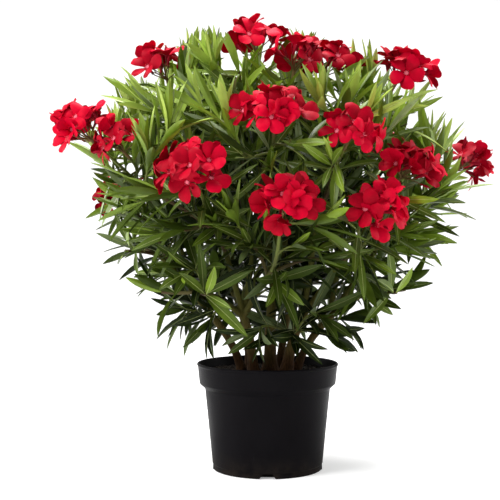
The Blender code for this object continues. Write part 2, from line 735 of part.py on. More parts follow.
def make_foliage(plan, owner, chance):
    """One mass of foliage: its stem and shoots, with the leaves fused on."""
    mass = plan.masses[owner]
    mass.leaf_trees = []
    first = TIP_RADIUS if mass.has_bough else FORK_RADIUS
    radii = tapered(mass.stem_path, first, STEM_END_RADIUS)
    stem = limb(f"foliage_{mass.name}", mass.stem_path, radii, 4, LEAF_GREEN, start_way=mass.tip_way)
    pieces = []
    leaves = []
    for path, truss in mass.shoots:
        radii = tapered(path, SHOOT_RADIUS, SHOOT_TIP_RADIUS)
        end_way = truss.way if truss else None
        pieces.append(limb("shoot", path, radii, 3, LEAF_GREEN, roll=math.pi / 3, end_way=end_way))
        leaves += grow_leaves(plan, owner, path, bool(truss), chance)
    leaves += grow_leaves(plan, owner, mass.stem_path, False, chance) if len(mass.shoots) < 3 else []
    pieces += [leaf.build() for leaf in leaves]
    print(f"foliage_{mass.name}: {len(mass.shoots)} shoots, {len(leaves)} leaves")
    return keep_main_body(apply_boolean(stem, "UNION", pieces))


# ---------------------------------------------------------------- blossom
class Flower:
    """A funnel with five broad petals on a pedicel, in one closed shape whose foot is sunk in the stalk."""

    def __init__(self, root, throat, facing, turn, size):
        self.rim = []
        for petal in range(5):
            middle = 72.0 * petal
            corners = [
                (middle - 36.0, SINUS_RADIUS, -0.0030),
                (middle - PETAL_HALF_ANGLE, FLOWER_RADIUS * 0.93, 0.0030),
                (middle + PETAL_HALF_ANGLE, FLOWER_RADIUS, 0.0),
            ]
            for angle, radius, rise in corners:
                spoke = spoke_of(facing, turn + math.radians(angle))
                self.rim.append(throat + (spoke * radius + facing * rise) * size)
        self.deep = throat - facing * 0.0060
        tail = throat - facing * TUBE_LENGTH
        section = [spoke_of(facing, turn + 2 * math.pi * k / 3) * PEDICEL_RADIUS for k in range(3)]
        self.tail = [tail + corner for corner in section]
        self.foot = [root + corner * PEDICEL_FOOT_SHARE for corner in section]

    def tree(self):
        """The petals and the funnel behind them, to test against other flowers."""
        behind = sum(self.tail, Vector()) / 3
        around = range(len(self.rim))
        faces = [(k, (k + 1) % len(self.rim), len(self.rim)) for k in around]
        faces += [(k, (k + 1) % len(self.rim), len(self.rim) + 1) for k in around]
        return BVHTree.FromPolygons(self.rim + [self.deep, behind], faces)

    def build(self):
        shape = bmesh.new()
        rim = [shape.verts.new(point) for point in self.rim]
        deep = shape.verts.new(self.deep)
        tail = [shape.verts.new(point) for point in self.tail]
        foot = [shape.verts.new(point) for point in self.foot]
        for k, corner in enumerate(rim):
            shape.faces.new((corner, rim[(k + 1) % len(rim)], deep))
            shape.faces.new((rim[(k + 1) % len(rim)], corner, tail[k // 5]))
        for k in range(3):
            shape.faces.new((rim[(5 * k + 5) % len(rim)], tail[k], tail[(k + 1) % 3]))
            shape.faces.new((tail[k], tail[(k + 1) % 3], foot[(k + 1) % 3], foot[k]))
        shape.faces.new(foot)
        return object_of("flower", shape, BLOSSOM_RED)


def make_truss(truss, ring, built, chance):
    """A flower twig: its stalk, with the flowers fused on in a dome. A flower that meets another is left off."""
    path = [truss.foot, truss.foot.lerp(truss.centre, 0.5), truss.centre]
    stalk = limb(truss.name, path, [STALK_RADIUS] * 3, 4, BLOSSOM_RED)
    turn = chance.uniform(0, 2 * math.pi)
    flowers = []
    for number in range(ring + 1):
        lean = math.radians(6 if number == 0 else TRUSS_LEAN)
        spoke = spoke_of(truss.way, turn + 2 * math.pi * number / ring)
        facing = truss.way * math.cos(lean) + spoke * math.sin(lean)
        throat = truss.centre + facing * TRUSS_RADIUS * (1.04 if number == 0 else chance.uniform(0.97, 1.03))
        root = truss.centre - truss.way * (0.002 + 0.001 * number) + spoke * (STALK_RADIUS * 0.3 if number else 0)
        flower = Flower(root, throat, facing, chance.uniform(0, 1.2), chance.uniform(0.92, 1.0))
        tree = flower.tree()
        if not any(tree.overlap(other) for other in built):
            built.append(tree)
            flowers.append(flower.build())
    print(f"{truss.name}: {len(flowers)} flowers")
    return keep_main_body(apply_boolean(stalk, "UNION", flowers))


# ---------------------------------------------------------------- the whole plant
def main():
    for old in list(bpy.data.objects):
        bpy.data.objects.remove(old)
    plan = Plan()
    make_pot()
    make_soil()
    for stem in plan.stems:
        make_stem(stem)
    for owner, mass in enumerate(plan.masses):
        if mass.has_bough:
            make_bough(mass)
        make_foliage(plan, owner, random.Random(40 + owner))
    built = []
    for number, truss in enumerate(plan.trusses):
        make_truss(truss, RING_FLOWERS[number % 2], built, random.Random(400 + number))


main()
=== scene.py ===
"""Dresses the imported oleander: bark, twigs, leaves, blossom, soil and pot, with a stage to look at it on.

Everything is in metres, +Z up, with the front on -Y. The shrub grows by the rule of its solids: seven stems
that fork into boughs, a stem of foliage on from each bough, shoots for places spread evenly over the crown,
and whorls of three leaves down each shoot. Here the rule goes on to finer twigs inside the same crown.
"""

import functools
import math
import random

import bmesh
import bpy
import numpy as np
from bpy.props import FloatProperty, FloatVectorProperty, IntProperty, PointerProperty
from mathutils import Matrix, Vector, geometry, noise


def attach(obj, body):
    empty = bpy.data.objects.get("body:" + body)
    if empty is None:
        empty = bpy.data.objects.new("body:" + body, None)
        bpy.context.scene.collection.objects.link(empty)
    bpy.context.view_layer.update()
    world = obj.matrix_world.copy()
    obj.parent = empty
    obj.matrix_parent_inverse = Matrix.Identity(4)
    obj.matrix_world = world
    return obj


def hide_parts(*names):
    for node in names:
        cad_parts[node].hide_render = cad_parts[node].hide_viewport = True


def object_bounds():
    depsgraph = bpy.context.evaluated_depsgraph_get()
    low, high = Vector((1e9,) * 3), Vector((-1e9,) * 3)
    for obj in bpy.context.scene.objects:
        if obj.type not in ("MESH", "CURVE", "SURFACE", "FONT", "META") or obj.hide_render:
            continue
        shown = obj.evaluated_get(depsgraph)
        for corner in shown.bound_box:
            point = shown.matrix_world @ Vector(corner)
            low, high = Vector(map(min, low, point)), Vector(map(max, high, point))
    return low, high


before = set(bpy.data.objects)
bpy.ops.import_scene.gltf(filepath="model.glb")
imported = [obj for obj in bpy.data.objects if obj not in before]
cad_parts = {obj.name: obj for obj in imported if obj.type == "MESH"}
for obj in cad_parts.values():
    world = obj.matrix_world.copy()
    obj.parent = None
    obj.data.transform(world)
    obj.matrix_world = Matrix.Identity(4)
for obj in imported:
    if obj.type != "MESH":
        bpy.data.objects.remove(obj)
CAD_BOUNDS = [list(corner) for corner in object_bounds()]

bl_info = {
    "name": "Potted Oleander",
    "version": (1, 0, 0),
    "blender": (4, 5, 0),
    "location": "3D View > Sidebar > Oleander",
    "description": "Grows a flowering oleander in a nursery pot, piece by piece",
    "category": "Add Mesh",
}

BODY = "root"
UP = Vector((0, 0, 1))
GOLDEN_ANGLE = math.pi * (3 - math.sqrt(5))
GAP = 0.0003  # left between solids that would touch
MILLIMETRE = 0.001
SEEDS = {"twigs": 12, "soil": 3, "leaves": 77, "petals": 900, "fringe": 31, "trusses": 400}

# ---------------------------------------------------------------- the pot and the soil, as in the solids
POT_HEIGHT = 0.168
RIM_RADIUS = 0.1125
RIM_LIP = 0.0035  # height of the thin lip round the top
RIM_BEVEL = 0.0012
LIP_UNDERCUT = 0.001
BAND_TOP_RADIUS = 0.1113
BAND_FOOT_RADIUS = 0.1085
BAND_FOOT_HEIGHT = 0.1357
SHOULDER_RADIUS = 0.0998
SHOULDER_HEIGHT = 0.1278
WALL_FOOT_RADIUS = 0.0878
FOOT_RADIUS = 0.0868
FOOT_HEIGHT = 0.0095
FOOT_STEP = 0.0008
POT_ROUNDING = 0.0014
POT_WALL = 0.0018
POT_FLOOR = 0.0025
NOTCHES = 4
NOTCH_WIDTH = 0.032
NOTCH_DEPTH = 0.016
NOTCH_HEIGHT = 0.008
NOTCH_SLOPE = 0.005
NOTCH_OVERRUN = 0.004
SOIL_TOP = 0.155
SOIL_EDGE_DROP = 0.003
SOIL_FLAT_RADIUS = 0.062
SOIL_CLEARANCE = 0.0012

# ---------------------------------------------------------------- the crown and its wood, by the solids' rule
CROWN_WIDEST = 0.455  # height of the crown's widest level
CROWN_TOP = 0.725
CROWN_FOOT = 0.165
CROWN_HALF_WIDTH = 0.330
CROWN_HALF_DEPTH = 0.318
CROWN_FOOT_SHARE = 0.41  # of the widest radius, down at the foot
CROWN_DOME = (1.8, 0.6)  # powers of its curve
CROWN_LEAN = 0.020  # to the right, at its leaning level
LEAN_LEVEL = 0.395
LEAN_SPAN = 0.150  # above and below that level the crown stands straight again
CROWN_HEART = Vector((0, 0, 0.400))  # from which shoots are spread over the crown
STEM_RISE = 0.9  # how much straight up is added to a stem's first way
FORK_SPLAY = 0.25  # and how much outwards to its last
FORK_TAPER = 0.72  # a stem's radius at its fork, as a share of its foot's
FORK_LEAST = 1.12  # and at least so many times a limb's
FORK_RADIUS = 0.0052  # of a limb where it leaves its fork
LONGEST_STUB = 0.034
LIMB_RISE = 0.12  # how much straight up is added to a limb's first way
HUB_RISE = 0.06  # and to the way out from the crown's heart to a hub, in metres
TIP_RADIUS = 0.0038  # of a bough's tip, and of the mass's stem there
STEM_END_RADIUS = 0.0032
SHOOT_RADIUS = 0.0030
SHOOT_TIP_RADIUS = 0.0022
BOUGH_SHARE = 0.60  # of the way from fork to hub, before the foliage's own stem begins
SHOOT_PLACES = 66  # spread over the crown; those in a truss's space are left to it
LOWEST_PLACE = -0.60  # sine of the lowest place's elevation, seen from the heart
HIGHEST_PLACE = 0.985  # and of the highest one's
SHOOT_SHARE = 0.76  # of the way from the heart to the crown's surface
BRANCHING_SHARES = (0.985, 0.87, 0.75, 0.63, 0.51, 0.39, 0.27)  # of a mass's stem, where shoots may leave it
LONGEST_SHOOT = 0.180
SHORTEST_SHOOT = 0.030
SHOOT_START = 0.014  # from where on a shoot has to keep clear
SHOOT_LIFT_LEVEL = 0.36
SHOOT_LIFTS = (0.1, 0.5)  # how much straight up is added to a shoot's last way, under and over that level
TIP_SPACING = 0.058  # at least, between the tips of two shoots
SKIRT_SWING = 55.0
SKIRT_REACH = 0.060
LIMB_CLEARANCE = 0.0065
SHOOT_CLEARANCE = 0.0055
LOWEST_LEAF = 0.178
OPEN_FOOT = 0.150  # radius within which the leaves stay higher, so that the stems show
OPEN_FOOT_RISE = 0.045
# Points along each kind of path, and the stretch over which a path's way at a place is taken.
STEM_POINTS = 9
LIMB_POINTS = 12
BOUGH_POINTS = 9
MASS_STEM_POINTS = 7
SHOOT_POINTS = 7
TWIG_POINTS = 6
WAY_STRETCH = 0.004

BLOSSOM_HEART = Vector((0, 0, 0.270))  # every truss looks away from here
TRUSS_RADIUS = 0.051  # of the dome on which the flowers stand
TRUSS_DEPTH = 0.034  # from the dome's centre to the middle of the truss
TRUSS_STALK = 0.016  # from the shoot's tip to the dome's centre
TRUSS_SPACE = 0.061
TRUSS_MARGIN = 0.008
STALK_ROOM = 0.010  # kept clear round the stalk of a truss, and more so by STALK_WIDENING towards the flowers
STALK_WIDENING = 1.4
DOME_BASE = 0.004  # of the flowers, over the centre of their dome
STALK_RADIUS = 0.0026
FRONT = Vector((0, -1, 0))
TRUSS_SIGHT = 0.045  # radius of the open way outward from a truss and in front of it
TRUSS_WIDER = 0.06  # by how much a truss is wider across than a round one
TRUSS_LOWER = 0.32  # and by how much less it goes up and down
TRUSS_FLOWERS = 9  # on a truss of the size that these lengths are for
SHADE_REACH = 0.150  # of a truss over the leaves under it
DEEPEST_SHADE = 0.24  # as a share of the way from the darkest tone to the lightest

# Each stem: azimuth of its lean from +X, foot and fork distances from the middle, fork height over the soil,
# and its radius over the root flare.
STEMS = {
    "left": (184, 0.041, 0.092, 0.092, 0.0066),
    "back_left": (142, 0.035, 0.060, 0.105, 0.0074),
    "front_left": (236, 0.039, 0.064, 0.090, 0.0082),
    "centre": (300, 0.008, 0.018, 0.118, 0.0105),
    "back_right": (50, 0.031, 0.060, 0.105, 0.0070),
    "front_right": (316, 0.041, 0.074, 0.088, 0.0092),
    "right": (2, 0.046, 0.098, 0.084, 0.0066),
}

# Each mass of foliage: the stem it grows from, whether a bough carries it there, its hub and its trusses.
# Places are in millimetres, across, away and up; a truss also has its number of open flowers.
MASSES = {
    "top": ("centre", True, (-16, 6, 560), [(-20, -16, 692, 6)]),
    "top_right": ("centre", True, (74, -10, 545), [(44, -80, 655, 5), (100, -14, 658, 7)]),
    "top_left": ("back_left", True, (-98, 16, 530), [(-171, -56, 645, 5)]),
    "right_high": ("right", True, (158, 0, 500), [(215, -66, 634, 10)]),
    "front_high": ("front_left", True, (-8, -104, 455), [(10, -235, 545, 12)]),
    "front_right_high": ("front_right", True, (92, -116, 440), [(124, -228, 524, 7)]),
    "left_high": ("left", True, (-205, -12, 452), [(-300, -56, 542, 12), (-240, -112, 520, 6)]),
    "front_left_high": ("front_left", True, (-84, -126, 388), [(-113, -244, 462, 12)]),
    "back_high": ("back_right", True, (24, 116, 490), [(18, 228, 598, 8)]),
    "right_low": ("right", True, (236, 0, 405), [(330, -4, 494, 7)]),
    "front_right_low": ("front_right", True, (132, -104, 345), [(217, -162, 475, 9), (161, -226, 412, 8)]),
    "front_low": ("front_left", False, (6, -150, 318), [(23, -262, 419, 10)]),
    "left_low": ("left", False, (-186, -34, 346), []),
    "back_left": ("back_left", True, (-142, 128, 420), [(-170, 226, 522, 9), (-262, 92, 446, 8)]),
    "back_right": ("back_right", True, (150, 122, 430), [(226, 166, 524, 9)]),
    "back_low": ("back_left", False, (24, 168, 350), [(64, 266, 432, 10)]),
    "skirt_left": ("front_left", False, (-100, -106, 284), []),
    "skirt_right": ("right", False, (172, -46, 284), []),
    "skirt_back": ("back_right", False, (76, 118, 290), []),
}

# ---------------------------------------------------------------- what is finer here than in the solids
# Layers of finer twigs, outer ones first: places over the crown, share of the way to its surface, spacing.
TWIG_LAYERS = ((300, 0.81, 0.038), (150, 0.64, 0.047), (90, 0.48, 0.052), (60, 0.34, 0.052))
SPARSE_BELOW = 0.420  # under this level the twigs stand wider apart, by as much as SPARSE times at SPARSEST
SPARSEST = 0.240
SPARSE = 1.45
LOWEST_TWIG = -0.92
LEAF_REACH = 1.09  # how far past the crown's surface a leaf's tip may come
LOW_REACH = 1.14  # and under SPARSE_BELOW
ROOM = 0.018  # how far past the box round the solids a leaf's tip may come
# Round gaps in the crown, free of leaves all the way through as the eye sees it: how far to the right and
# how high each one's middle is in the plane of the pot's axis, and its radius.
GAPS = (
    (-0.340, 0.457, 0.058),
    (-0.237, 0.215, 0.060),
    (-0.104, 0.196, 0.013),
    (0.092, 0.200, 0.010),
    (-0.146, 0.242, 0.008),
    (0.133, 0.252, 0.008),
    (-0.237, 0.349, 0.008),
    (-0.214, 0.475, 0.013),
    (0.229, 0.551, 0.013),
    (0.103, 0.593, 0.011),
    (-0.064, 0.638, 0.014),
    (0.001, 0.655, 0.014),
)
EYE_DISTANCE = 1.65  # from the pot's axis
EYE_HEIGHT = 0.357
LONGEST_TWIG = 0.135
SHORTEST_TWIG = 0.028
TWIG_RADIUS = 0.0021
TWIG_TIP_RADIUS = 0.0013
# Rings along each kind of skin and sides round it.
STEM_SKIN = (14, 14)
LIMB_SKIN = (20, 10)
SHOOT_SKIN = (9, 6)
TWIG_SKIN = (7, 6)
MASS_STEM_SIDES = 8
STEM_FLARES = (1.45, 1.24, 1.11, 1.04)  # times a stem's radius, from its foot up
TWIG_STRAY = 0.008
BEND_COST = 0.6  # of a twig that sets out square to the wood, as a share of its length
LEVEL_COST = 0.012  # of a twig on a twig, for each level up from the boughs
LEAST_FORWARD = 0.15  # how much of the wood's way there has to be in a twig's
TWIG_LIFT_LEVEL = 0.38
TWIG_LIFTS = (0.10, 0.60, 2.4)  # under that level, at it, and more for each metre over it
LEAF_DROOP = 0.022  # how far under a twig's tip its leaves come down
WOOD_STEP = 0.010  # between the places on the wood where a finer twig may leave it

WHORL = 3
# Down a shoot from its tip, for each whorl: distance to the next one, the leaves' opening, and their length
# as a share of a full leaf.
WHORLS = (
    (0.007, 12, 0.70),
    (0.013, 22, 0.90),
    (0.018, 34, 1.00),
    (0.022, 45, 1.00),
    (0.025, 56, 1.00),
    (0.028, 66, 0.96),
    (0.030, 73, 0.92),
)
WHORLS_UNDER_TRUSS = WHORLS[3:]
TIP_GAP = 0.002  # from a shoot's tip down to its first whorl
TRUSS_GAP = 0.012  # and where the tip carries a truss
ROOT_GAP = 0.010  # from a shoot's root up to its last whorl, at least
LOW_SHOOT = 0.33  # a shoot that ends under this level has leaves that open and bend further and are broader
LOW_OPENING = 12
LOW_BEND = 0.22
LOW_BREADTH = 1.16
WIDEST_OPENING = 88
# Rings down a leaf, whose tip is a point, and along its midrib.
LEAF_STATIONS = (0.0, 0.07, 0.18, 0.34, 0.52, 0.70, 0.84, 0.94)
LEAF_BREADTHS = (0.15, 0.18, 0.50, 0.84, 1.00, 0.90, 0.60, 0.27)
LEAF_THICKNESS = 0.0009
RIB_STATIONS = (0.0, 0.15, 0.35, 0.55, 0.75, 0.92)
RIB_BREADTHS = (0.0015, 0.0014, 0.0012, 0.0010, 0.0007, 0.0003)
RIB_RISE = 0.00012
LEAF_LIFT_LEVEL = 0.36  # from here up the leaves turn upwards, and fully after LEAF_LIFT_SPAN
LEAF_LIFT_SPAN = 0.10
LEAF_LIFT = 0.28
# Tries at a leaf until it fits: its opening and its length, each as a share of what it would have.
LEAF_TRIES = ((1, 1), (0.7, 0.97), (1, 0.86), (0.5, 0.86))

# The tones of the leaves, each with its shine. The last two are pale and strewn among the rest.
SHINES = {"lime": 0.32, "fresh": 0.30, "mid": 0.22, "deep": 0.12, "dark": 0.07, "silver": 0.30, "sage": 0.20}
# A leaf's tone is painted light and shade: lighter high up and outside, darker down each shoot and under a
# truss.
LEAST_LIGHT = {"lime": 0.63, "fresh": 0.43, "mid": 0.24, "deep": 0.04}  # with less a leaf is dark
BRIGHT_TONES = ("lime", "fresh", "mid")
DULL_TONES = ("deep", "dark", "silver", "sage")
SILVER_ABOVE = 0.44  # and sage under it, so that the pale leaves too are painted lighter high up, painted light
LIGHT_FROM = 0.26  # the level from which the leaves' tones are painted lighter upwards, painted light
LIGHT_SPAN = 0.42
HIGH_LIGHT = 0.94
OUTER_LIGHT = 0.74
LIGHT_LOST = 0.30
WHORL_SHADE = 0.065
LIGHT_STRAY = 0.11

SOIL_RINGS = 40
SOIL_SIDES = 120
CRUMB_KINDS = 6
SMALLEST_CRUMB = 0.0008
CRUMB_SPREAD = 0.0024
CRUMB_SHAPE = (1.0, 0.9, 0.75)
CHIP_SHAPE = (1.6, 0.8, 0.5)
CHIP_SHARE = 0.12

# The parts of a flower round its own axis, with the throat's mouth at height 0, as (radius, height).
PETALS = 5
PETAL_HALF_WIDTH = 0.0106
PETAL_STATIONS = (0.0, 0.13, 0.27, 0.41, 0.55, 0.69, 0.82, 0.92, 1.0)
PETAL_SHARES = (-1.0, -0.66, -0.33, 0.0, 0.33, 0.66, 1.0)  # of its half width, across
OPENINGS = (1.0, 0.90, 0.78, 0.84, 0.62, 0.72, 0.50, 0.34, 0.12)  # of the petal variants; 1 is flat
THROAT_RADIUS = 0.0034
FRINGE_TEETH = 10
TUBE_PROFILE = ((0.0013, -0.0195), (0.0017, -0.0150), (0.0022, -0.0100), (0.0034, -0.0055), (0.0046, 0.0002))
WELL_PROFILE = ((0.0019, -0.0040), (0.0029, 0.0004))
BUD_PROFILE = (
    (0.0008, 0.0),
    (0.0016, 0.0020),
    (0.0015, 0.0060),
    (0.0021, 0.0095),
    (0.0024, 0.0130),
    (0.0017, 0.0170),
    (0.0008, 0.0198),
)
BUD_TIP = 0.0215
FLOWER_SIDES = 10
BUD_SIDES = 8
TUBE_LENGTH = 0.0193  # from the mouth down to where the flower's stalk is joined on
FLOWER_STRAY = 0.50
DEEP_SHARE = 0.45  # of the flowers, which are older and deeper in colour
PEDICEL_RADIUS = 0.0009
BUD_PEDICEL_RADIUS = 0.0008
PEDICEL_POINTS = 6
PEDICEL_SIDES = 5

# ---------------------------------------------------------------- the stage
EYE_TARGET = Vector((-0.028, 0.0, 0.3472))
LIGHT_TARGET = Vector((0, 0, 0.42))
# Each soft light: its place, its diameter and the setting with its power.
LIGHTS = {
    "key_light": ((-1.8, -1.3, 2.0), 1.3, "key_power"),
    "left_rim_light": ((-1.8, 0.5, 0.9), 1.4, "rim_power"),
    "right_rim_light": ((1.8, 0.3, 0.9), 1.4, "rim_power"),
    "top_light": ((0.1, 0.4, 2.3), 1.6, "top_power"),
}
FLOOR_HALF_WIDTH = 5.0
FLOOR_FRONT = -4.0
FLOOR_BACK = 2.6
WALL_BEND = 1.2
WALL_TOP = 3.4


# ---------------------------------------------------------------- paths and frames
def bezier(start, start_way, end, end_way, steps, pull=0.36):
    """Points from start to end that set out along start_way and arrive along end_way."""
    reach = (end - start).length * pull
    first, second = start + start_way * reach, end - end_way * reach
    return geometry.interpolate_bezier(start, first, second, end, steps)


def across(way):
    """A unit vector square to way."""
    other = Vector((1, 0, 0)) if abs(way.x) < 0.8 else Vector((0, 1, 0))
    return way.cross(other).normalized()


def spoke_of(way, turn):
    """The unit vector square to way at an angle round it."""
    return Matrix.Rotation(turn, 3, way) @ across(way)


def reaching(root, way, place, arrive, steps):
    """A path that leaves root between way and the straight line to place, and arrives along arrive."""
    return bezier(root, (way + (place - root).normalized()).normalized(), place, arrive, steps)


def length_of(path):
    return sum((b - a).length for a, b in zip(path, path[1:]))


def tapered(path, first, last):
    """A radius for each point of path, from first to last by length."""
    whole = length_of(path)
    return [first + (last - first) * length_of(path[: n + 1]) / whole for n in range(len(path))]


def part_of_path(path, start, end, steps):
    """Points evenly spaced by length between two lengths along path."""
    points = []
    for k in range(steps):
        left = start + (end - start) * k / (steps - 1)
        for a, b in zip(path, path[1:]):
            run = (b - a).length
            if left <= run or b is path[-1]:
                points.append(a + (b - a) * (left / run))
                break
            left -= run
    return points


def runs_of(path):
    return list(zip(path, path[1:]))


def distances(points, runs):
    """The distance from each point to each straight run, as a table."""
    starts, ends = np.array([a for a, _ in runs]), np.array([b for _, b in runs])
    steps = ends - starts
    offsets = np.array(points)[:, None] - starts
    shares = np.clip((offsets * steps).sum(2) / (steps * steps).sum(1), 0, 1)
    return np.linalg.norm(offsets - shares[..., None] * steps, axis=2)


# ---------------------------------------------------------------- the crown
def crown_share(height):
    """The crown's radius at a height, as a share of its widest: a cone with a dome on it."""
    if height < CROWN_WIDEST:
        drop = (CROWN_WIDEST - height) / (CROWN_WIDEST - CROWN_FOOT)
        return 1 - (1 - CROWN_FOOT_SHARE) * min(drop, 1.0)
    rise = (height - CROWN_WIDEST) / (CROWN_TOP - CROWN_WIDEST)
    round_off, square_off = CROWN_DOME
    return (1 - rise**round_off) ** square_off if rise < 1 else 0.0


def crown_lean(height):
    """How far to the right the crown's middle is at a height."""
    return CROWN_LEAN * max(0.0, 1 - abs(height - LEAN_LEVEL) / LEAN_SPAN)


def in_crown(point, grown=1.0):
    spread = math.hypot((point.x - crown_lean(point.z)) / CROWN_HALF_WIDTH, point.y / CROWN_HALF_DEPTH)
    return CROWN_FOOT < point.z and spread < crown_share(point.z) * grown


def crown_places(count, share, lowest):
    """Places spread evenly over the crown, inside its surface, with the way that each looks."""
    places = []
    for number in range(count):
        rise = lowest + (HIGHEST_PLACE - lowest) * (number + 0.5) / count
        turn = number * GOLDEN_ANGLE
        flat = math.sqrt(1 - rise * rise)
        way = Vector((flat * math.cos(turn), flat * math.sin(turn), rise))
        reach = 0.0
        while in_crown(CROWN_HEART + way * reach):
            reach += 0.002
        places.append((CROWN_HEART + way * reach * share, way))
    return places


def in_room(point):
    """Whether a leaf may come there: near the solids' box, over the open foot and out of the gaps."""
    lowest, highest = CAD_BOUNDS
    floor = LOWEST_LEAF + OPEN_FOOT_RISE * max(0.0, 1 - math.hypot(point.x, point.y) / OPEN_FOOT)
    closer = EYE_DISTANCE / (EYE_DISTANCE + point.y)
    aside, level = point.x * closer, EYE_HEIGHT + (point.z - EYE_HEIGHT) * closer
    if any(math.hypot(aside - x, level - z) < radius for x, z, radius in GAPS):
        return False
    in_box = all(low - ROOM < value < high + ROOM for low, value, high in zip(lowest, point, highest))
    return point.z > floor and in_box


def sparseness(height):
    """How much wider apart twigs stand at a height than in the upper crown."""
    return 1 + (SPARSE - 1) * min(1.0, max(0.0, (SPARSE_BELOW - height) / (SPARSE_BELOW - SPARSEST)))


class Stem:
    """A stem from its flat foot on the soil to its fork."""

    def __init__(self, name):
        azimuth, foot, fork, rise, self.radius = STEMS[name]
        out = Vector((math.cos(math.radians(azimuth)), math.sin(math.radians(azimuth)), 0))
        self.name = name
        self.foot = out * foot + UP * (SOIL_TOP + GAP)
        self.fork = out * fork + UP * (SOIL_TOP + rise)
        lean = (self.fork - self.foot).normalized()
        first_way = (lean + UP * STEM_RISE).normalized()
        last_way = (lean + out * FORK_SPLAY).normalized()
        self.path = bezier(self.foot, first_way, self.fork, last_way, STEM_POINTS)
        self.fork_radius = max(self.radius * FORK_TAPER, FORK_RADIUS * FORK_LEAST)
        self.masses = []

    def stub_length(self):
        """Long enough that the limbs from the fork start clear of each other."""
        ways = [mass.start_way for mass in self.masses]
        closest = min(a.angle(b) for n, a in enumerate(ways) for b in ways[n + 1 :])
        return min(LONGEST_STUB, 1.25 * FORK_RADIUS / math.sin(closest / 2))


class Truss:
    """A truss of blossom: its middle, the way it faces, its dome's centre and where its stalk starts."""

    def __init__(self, across, away, up, flowers):
        self.middle = middle = Vector((across, away, up)) * MILLIMETRE
        self.flowers = flowers
        self.size = (flowers / TRUSS_FLOWERS) ** (1 / 3)
        self.way = (middle - BLOSSOM_HEART).normalized()
        self.centre = middle - self.way * TRUSS_DEPTH
        self.foot = self.centre - self.way * TRUSS_STALK
        self.open_ways = [self.way, FRONT] if middle.y < TRUSS_DEPTH else [self.way]

    def clears(self, points):
        """Which of the points are over the flowers, outward from them or in front, where no leaf grows."""
        offsets = points - np.array(self.middle)
        cleared = np.zeros(offsets.shape[:-1], bool)
        for way in self.open_ways:
            along = offsets @ np.array(way)
            off_axis = np.linalg.norm(offsets - along[..., None] * np.array(way), axis=-1)
            cleared |= (along > 0) & (off_axis < TRUSS_SIGHT)
        return cleared

    def holds(self, points):
        """Which of the points are among the flowers or their stalks."""
        offsets = points - np.array(self.centre)
        along = offsets @ np.array(self.way)
        off_axis = np.linalg.norm(offsets - along[..., None] * np.array(self.way), axis=-1)
        spread = STALK_ROOM + STALK_WIDENING * np.maximum(0.0, along + TRUSS_STALK / 2)
        by_stalk = (along > -TRUSS_STALK) & (off_axis < spread)
        offsets = offsets * (1, 1, 1 + TRUSS_LOWER / 2)
        in_dome = np.linalg.norm(offsets, axis=-1) < TRUSS_SPACE * self.size
        return np.where(along < DOME_BASE, by_stalk, in_dome)


class Mass:
    """One mass of foliage: the limb from its fork to its hub, and the shoots that leave its stem."""

    def __init__(self, name):
        _, self.has_bough, hub, trusses = MASSES[name]
        self.name = name
        self.hub = Vector(hub) * MILLIMETRE
        self.trusses = [Truss(*truss) for truss in trusses]
        self.outward = (self.hub - CROWN_HEART + UP * HUB_RISE).normalized()
        self.limb_end_radius = TIP_RADIUS if self.has_bough else STEM_END_RADIUS
        self.shoots = []
        self.open_shares = list(BRANCHING_SHARES)

    def lay_limb(self, stem):
        start = stem.fork + self.start_way * (stem.stub + GAP)
        arrive = (self.outward + (self.hub - start).normalized()).normalized()
        path = bezier(start, self.start_way, self.hub, arrive, LIMB_POINTS)
        whole = length_of(path)
        tip = whole * BOUGH_SHARE if self.has_bough else 0.0
        self.bough_path = part_of_path(path, 0, tip, BOUGH_POINTS) if self.has_bough else []
        self.stem_path = part_of_path(path, tip, whole, MASS_STEM_POINTS)
        self.limb_path = self.bough_path or self.stem_path
        self.space = runs_of(self.stem_path[1:])

    def skirt_places(self):
        """A fan of places round the hub of a mass that has no blossom."""
        places = []
        out = Vector((self.hub.x, self.hub.y, 0)).normalized()
        for swing in (-SKIRT_SWING, 0, SKIRT_SWING):
            way = Matrix.Rotation(math.radians(swing), 3, "Z") @ out
            places.append((self.hub + way * SKIRT_REACH, way))
        return places

    def branching(self, share):
        """The place on the mass's stem, and its way there, at a share of the stem's length."""
        along = length_of(self.stem_path) * share
        before, place = part_of_path(self.stem_path, along - WAY_STRETCH, along, 2)
        return place, (place - before).normalized()

    def add_shoot(self, shoot, share):
        self.shoots.append(shoot)
        self.space += runs_of(shoot.path)
        self.open_shares.remove(share)


class Shoot:
    """A twig from the wood to its tip, or to the foot of its truss. level counts up from the boughs."""

    def __init__(self, path, level, truss=None):
        self.path = path
        self.level = level
        self.truss = truss

    def wood(self, first_share):
        """Places along the shoot, past a share of its length, with the shoot's way at each."""
        whole = length_of(self.path)
        count = max(2, int(whole * (1 - first_share) / WOOD_STEP))
        points = part_of_path(self.path, whole * first_share, whole * 0.94, count)
        ways = [(b - a).normalized() for a, b in zip(points, points[1:])]
        return [(point, way, self.level) for point, way in zip(points, ways)]


